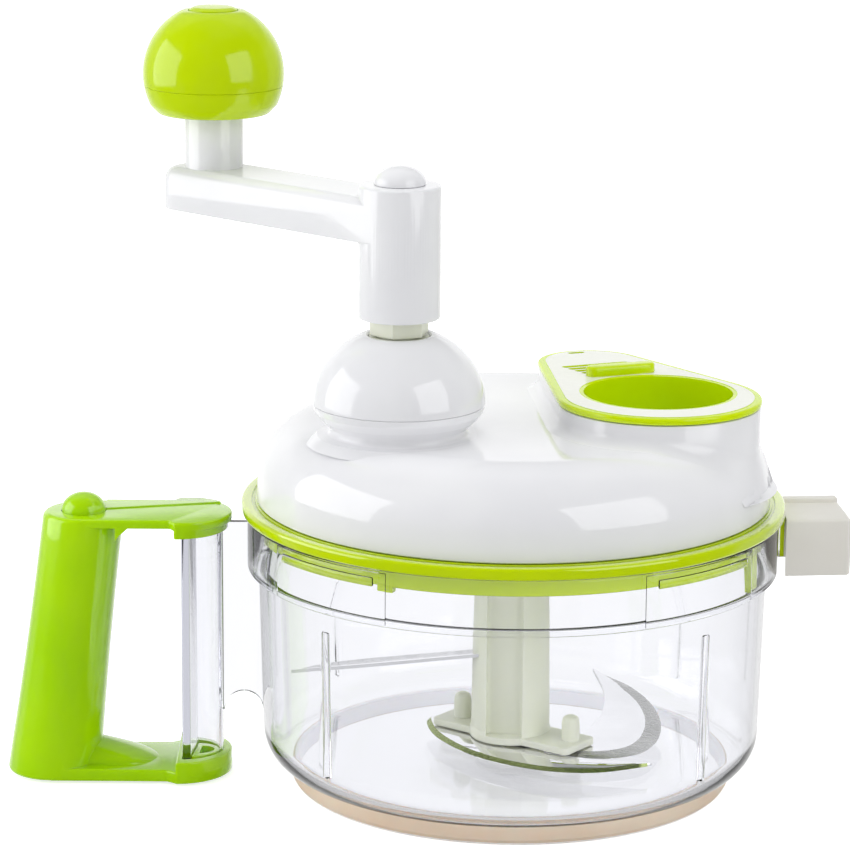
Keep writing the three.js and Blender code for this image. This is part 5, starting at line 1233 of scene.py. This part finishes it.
def round_bar(length, width, steps=8):
    """A bar's outline with half-round ends."""
    half = (length - width) / 2
    return arc(half, 0, width / 2, -90, 90, steps) + arc(-half, 0, width / 2, 90, 270, steps)


def across_axis(outline, along, aside, low, high, *rims, shift=(0, 0)):
    """A slab that lies across the teardrop's axis, at a distance along it."""
    spot = Vector(BIG_END) + axis * along + Vector(polar(aside, CHUTE_TURN - 90)) + Vector(shift)
    return tool(moved(slab(outline, low, high, *rims), (*spot, 0), CHUTE_TURN - 90))


def slots(length, width):
    """Cutters for the comb of slots, from the narrow end to the finger bar."""
    return [across_axis(round_bar(length, width, 4), 49.5 - SLOT_STEP * k, 0.9 * k - 1.4, 120, 140)
            for k in range(SLOTS)]


field = tool(slab(teardrop(-2.2), PLATE_TOP - 0.5, FIELD_TOP))
lip = cup_tool([(0, 120), (25.9, 120), (25.9, 140), (0, 140)])
join(insert, cut(field, lip, *slots(24.4, 2.6)))
key = across_axis(round_bar(6, 2, 6), 69, 0, 120, 140)
drain = moved(moved(slab(round_bar(16, 6), -14, 14), turn=90, axis="X"), turn=64)
moved(drain, (cup_spot[0] + 21, cup_spot[1], 115.1))
cut(insert, *slots(23, 1.5), key, tool(drain))
for face in insert.data.polygons:
    flat_top = face.normal.z > 0.9 and abs(face.center.z / MM - FIELD_TOP) < 0.05
    face.material_index = 1 if flat_top else 0
bar_outline = round_bar(24.5, 5.6)
absorb(insert, across_axis(bar_outline, 34.6, 0, 132.6, 137.5, 0.9, 4, True, shift=(1.2, 0)))
place(insert, "chute_insert_lime", "insert", ["chute_insert"], INSERT_LIME, "pale_lime_plastic",
      sharp=30, finishes=(PLATE_WHITE,))

# %% [markdown]
# ## Hidden pieces
#
# The gears, the gear plate, the screws, the bushing, the pin and the button's spring keep
# their own solids. They show only when the lid is off, or not at all, so a better finish is
# all that they need.

# %% Finishes for the solids that stay
plain_finishes = (
    (IVORY, ["crank_bushing", "crank_gear", "pinion"]), (WHITE, ["gear_plate"]),
    (ZINC, ["pivot_pin", "button_spring", "crank_gear_screw", "crank_screw", "knob_screw",
            "plate_screw_1", "plate_screw_2", "plate_screw_3", "plate_screw_4"]),
)
for finish, nodes in plain_finishes:
    for node in nodes:
        mesh = frame["nodes"][node].data
        mesh.materials.clear()
        mesh.materials.append(finish)
print("finishes given to", sum(len(nodes) for _, nodes in plain_finishes), "solids")

# %% [markdown]
# ## Floor, backdrop and light
#
# The photograph has a white studio: everything behind and below the object is white, and the
# light is large and soft. The floor is a pale surface that also glows, but only for rays that
# come from the camera or through the clear bowl. So it looks white, keeps a faint shadow, and
# doesn't light the object from below. A ray that has bounced inside the bowl's wall sees a
# weaker glow than one that goes straight through, which draws soft grey lines along the edges.

# %% Floor
floor_bm = bmesh.new()
bmesh.ops.create_grid(floor_bm, x_segments=1, y_segments=1, size=4.0)
floor_mesh = bpy.data.meshes.new("floor")
floor_bm.to_mesh(floor_mesh)
floor_bm.free()
floor = bpy.data.objects.new("floor", floor_mesh)
floor.location.z = -0.0002
bpy.context.scene.collection.objects.link(floor)
FLOOR_GLOW, GLOW_THROUGH, GLOW_BOUNCED = 0.70, 0.92, 0.60
floor_material, tree, shader, _ = new_finish("studio_floor")
rays = tree.nodes.new("ShaderNodeLightPath")
in_clear = rays.outputs["Is Transmission Ray"]
straight = calculate(tree, "LESS_THAN", rays.outputs["Glossy Depth"], 0.5)
clear_glow = calculate(tree, "MULTIPLY_ADD", straight, GLOW_THROUGH - GLOW_BOUNCED, GLOW_BOUNCED)
clear_glow = calculate(tree, "MULTIPLY", clear_glow, in_clear)
seen_glow = calculate(tree, "MULTIPLY", rays.outputs["Is Camera Ray"], FLOOR_GLOW)
feed(tree, shader, {
    "Base Color": ramp(tree, in_clear, [(0.0, 0.9), (1.0, 0.12)]),
    "Roughness": 0.6, "Specular IOR Level": 0.2, "Emission Color": (1, 1, 1, 1),
    "Emission Strength": calculate(tree, "MAXIMUM", clear_glow, seen_glow),
})
floor_mesh.materials.append(floor_material)
floor.visible_glossy = False
print("floor:", floor.name)

# %% [markdown]
# The world shows each kind of ray its own studio. The camera sees white, and diffuse rays get
# an even, dim fill. Mirrored rays see a dark front, where the photographer stands, and a white
# backdrop behind that darkens at its sides and its top. Rays that go straight through clear
# walls see white with greyer sides, and those that have bounced inside a wall see it grow
# darker towards the front. The last two draw the bowl's edges.

# %% World
world = bpy.data.worlds.new("studio")
bpy.context.scene.world = world
world.use_nodes = True
tree = world.node_tree
tree.nodes.clear()
out = tree.nodes.new("ShaderNodeOutputWorld")
rays = tree.nodes.new("ShaderNodeLightPath")
direction = tree.nodes.new("ShaderNodeTexCoord")
split = tree.nodes.new("ShaderNodeSeparateXYZ")
feed(tree, split, {"Vector": direction.outputs["Generated"]})


def sky(strength, shade=(1, 1, 1, 1)):
    """One version of the studio: a strength and a colour or a pattern."""
    node = tree.nodes.new("ShaderNodeBackground")
    feed(tree, node, {"Strength": strength, "Color": shade})
    return node.outputs["Background"]


def choose(ray, otherwise, chosen):
    """One version for a kind of ray, and another for all the rest."""
    node = tree.nodes.new("ShaderNodeMixShader")
    feed(tree, node, {"Fac": rays.outputs[ray], 1: otherwise, 2: chosen})
    return node.outputs["Shader"]


across = calculate(tree, "ABSOLUTE", split.outputs["X"])
backwards = calculate(tree, "MULTIPLY_ADD", split.outputs["Y"], 0.5, 0.5)
sides = ramp(tree, across, [
    (0.5, 1.0), (0.85, (0.86, 0.87, 0.93, 1)), (1.0, (0.74, 0.75, 0.84, 1)),
])
walls = ramp(tree, backwards, [(0.20, 0.72), (0.55, 1.0)])
depth = ramp(tree, backwards, [(0.43, 0.02), (0.60, 0.22), (0.67, 1.0)])
edges = ramp(tree, across, [(0.40, 1.0), (0.75, 0.35)])
ceiling = ramp(tree, split.outputs["Z"], [(0.32, 1.0), (0.42, 0.42)])
mirrored = sky(1.1, mixed(tree, mixed(tree, depth, edges), ceiling))
surface = choose("Is Glossy Ray", sky(0.46, (0.98, 0.99, 1.0, 1)), mirrored)
clear = choose("Glossy Depth", sky(0.92, sides), sky(1.1, walls))
surface = choose("Is Transmission Ray", surface, clear)
surface = choose("Is Camera Ray", surface, sky(1.0))
feed(tree, out, {"Surface": surface})
print("world:", len(tree.nodes), "nodes")

# %% [markdown]
# Big soft boxes light the object. Their places come from their reflections in the photograph:
# on the ball knob, each of two bright windows lies halfway between the camera's direction and
# the lamp's. One lamp is square to the left and one front right. One overhead and a weak fill
# on the left leave no window in gloss, so glossy rays don't see them.

# %% Lamps
LAMP_AIM = Vector((0, 0, 0.14))


def softbox(name, centre, width, height, radiance, glossy):
    """A rectangle that glows evenly; a radiance of 1 would be white paper."""
    lamp = bpy.data.lights.new(name, "AREA")
    lamp.shape = "RECTANGLE"
    lamp.size, lamp.size_y = width, height
    lamp.energy = radiance * math.pi * width * height
    obj = bpy.data.objects.new(name, lamp)
    obj.location = centre
    obj.rotation_euler = (LAMP_AIM - Vector(centre)).to_track_quat("-Z", "Y").to_euler()
    obj.visible_camera = False
    obj.visible_glossy = glossy
    bpy.context.scene.collection.objects.link(obj)
    print("%s: %.2f x %.2f m" % (name, width, height))


softbox("overhead", (0.05, 0.1, 1.25), 0.9, 0.8, 2.15, glossy=False)
softbox("left", (-0.97, -0.05, 0.37), 0.92, 0.82, 1.8, glossy=True)
softbox("left_fill", (-1.0, -0.25, 0.45), 0.92, 0.82, 0.9, glossy=False)
softbox("front_right", (0.74, -0.66, 0.50), 0.80, 0.90, 1.5, glossy=True)
bpy.context.scene.view_settings.view_transform = "Standard"

# %% [markdown]
# ## Pieces made
#
# The last line prints how many pieces were made.

# %% Finish
print("pieces made:", len(made))
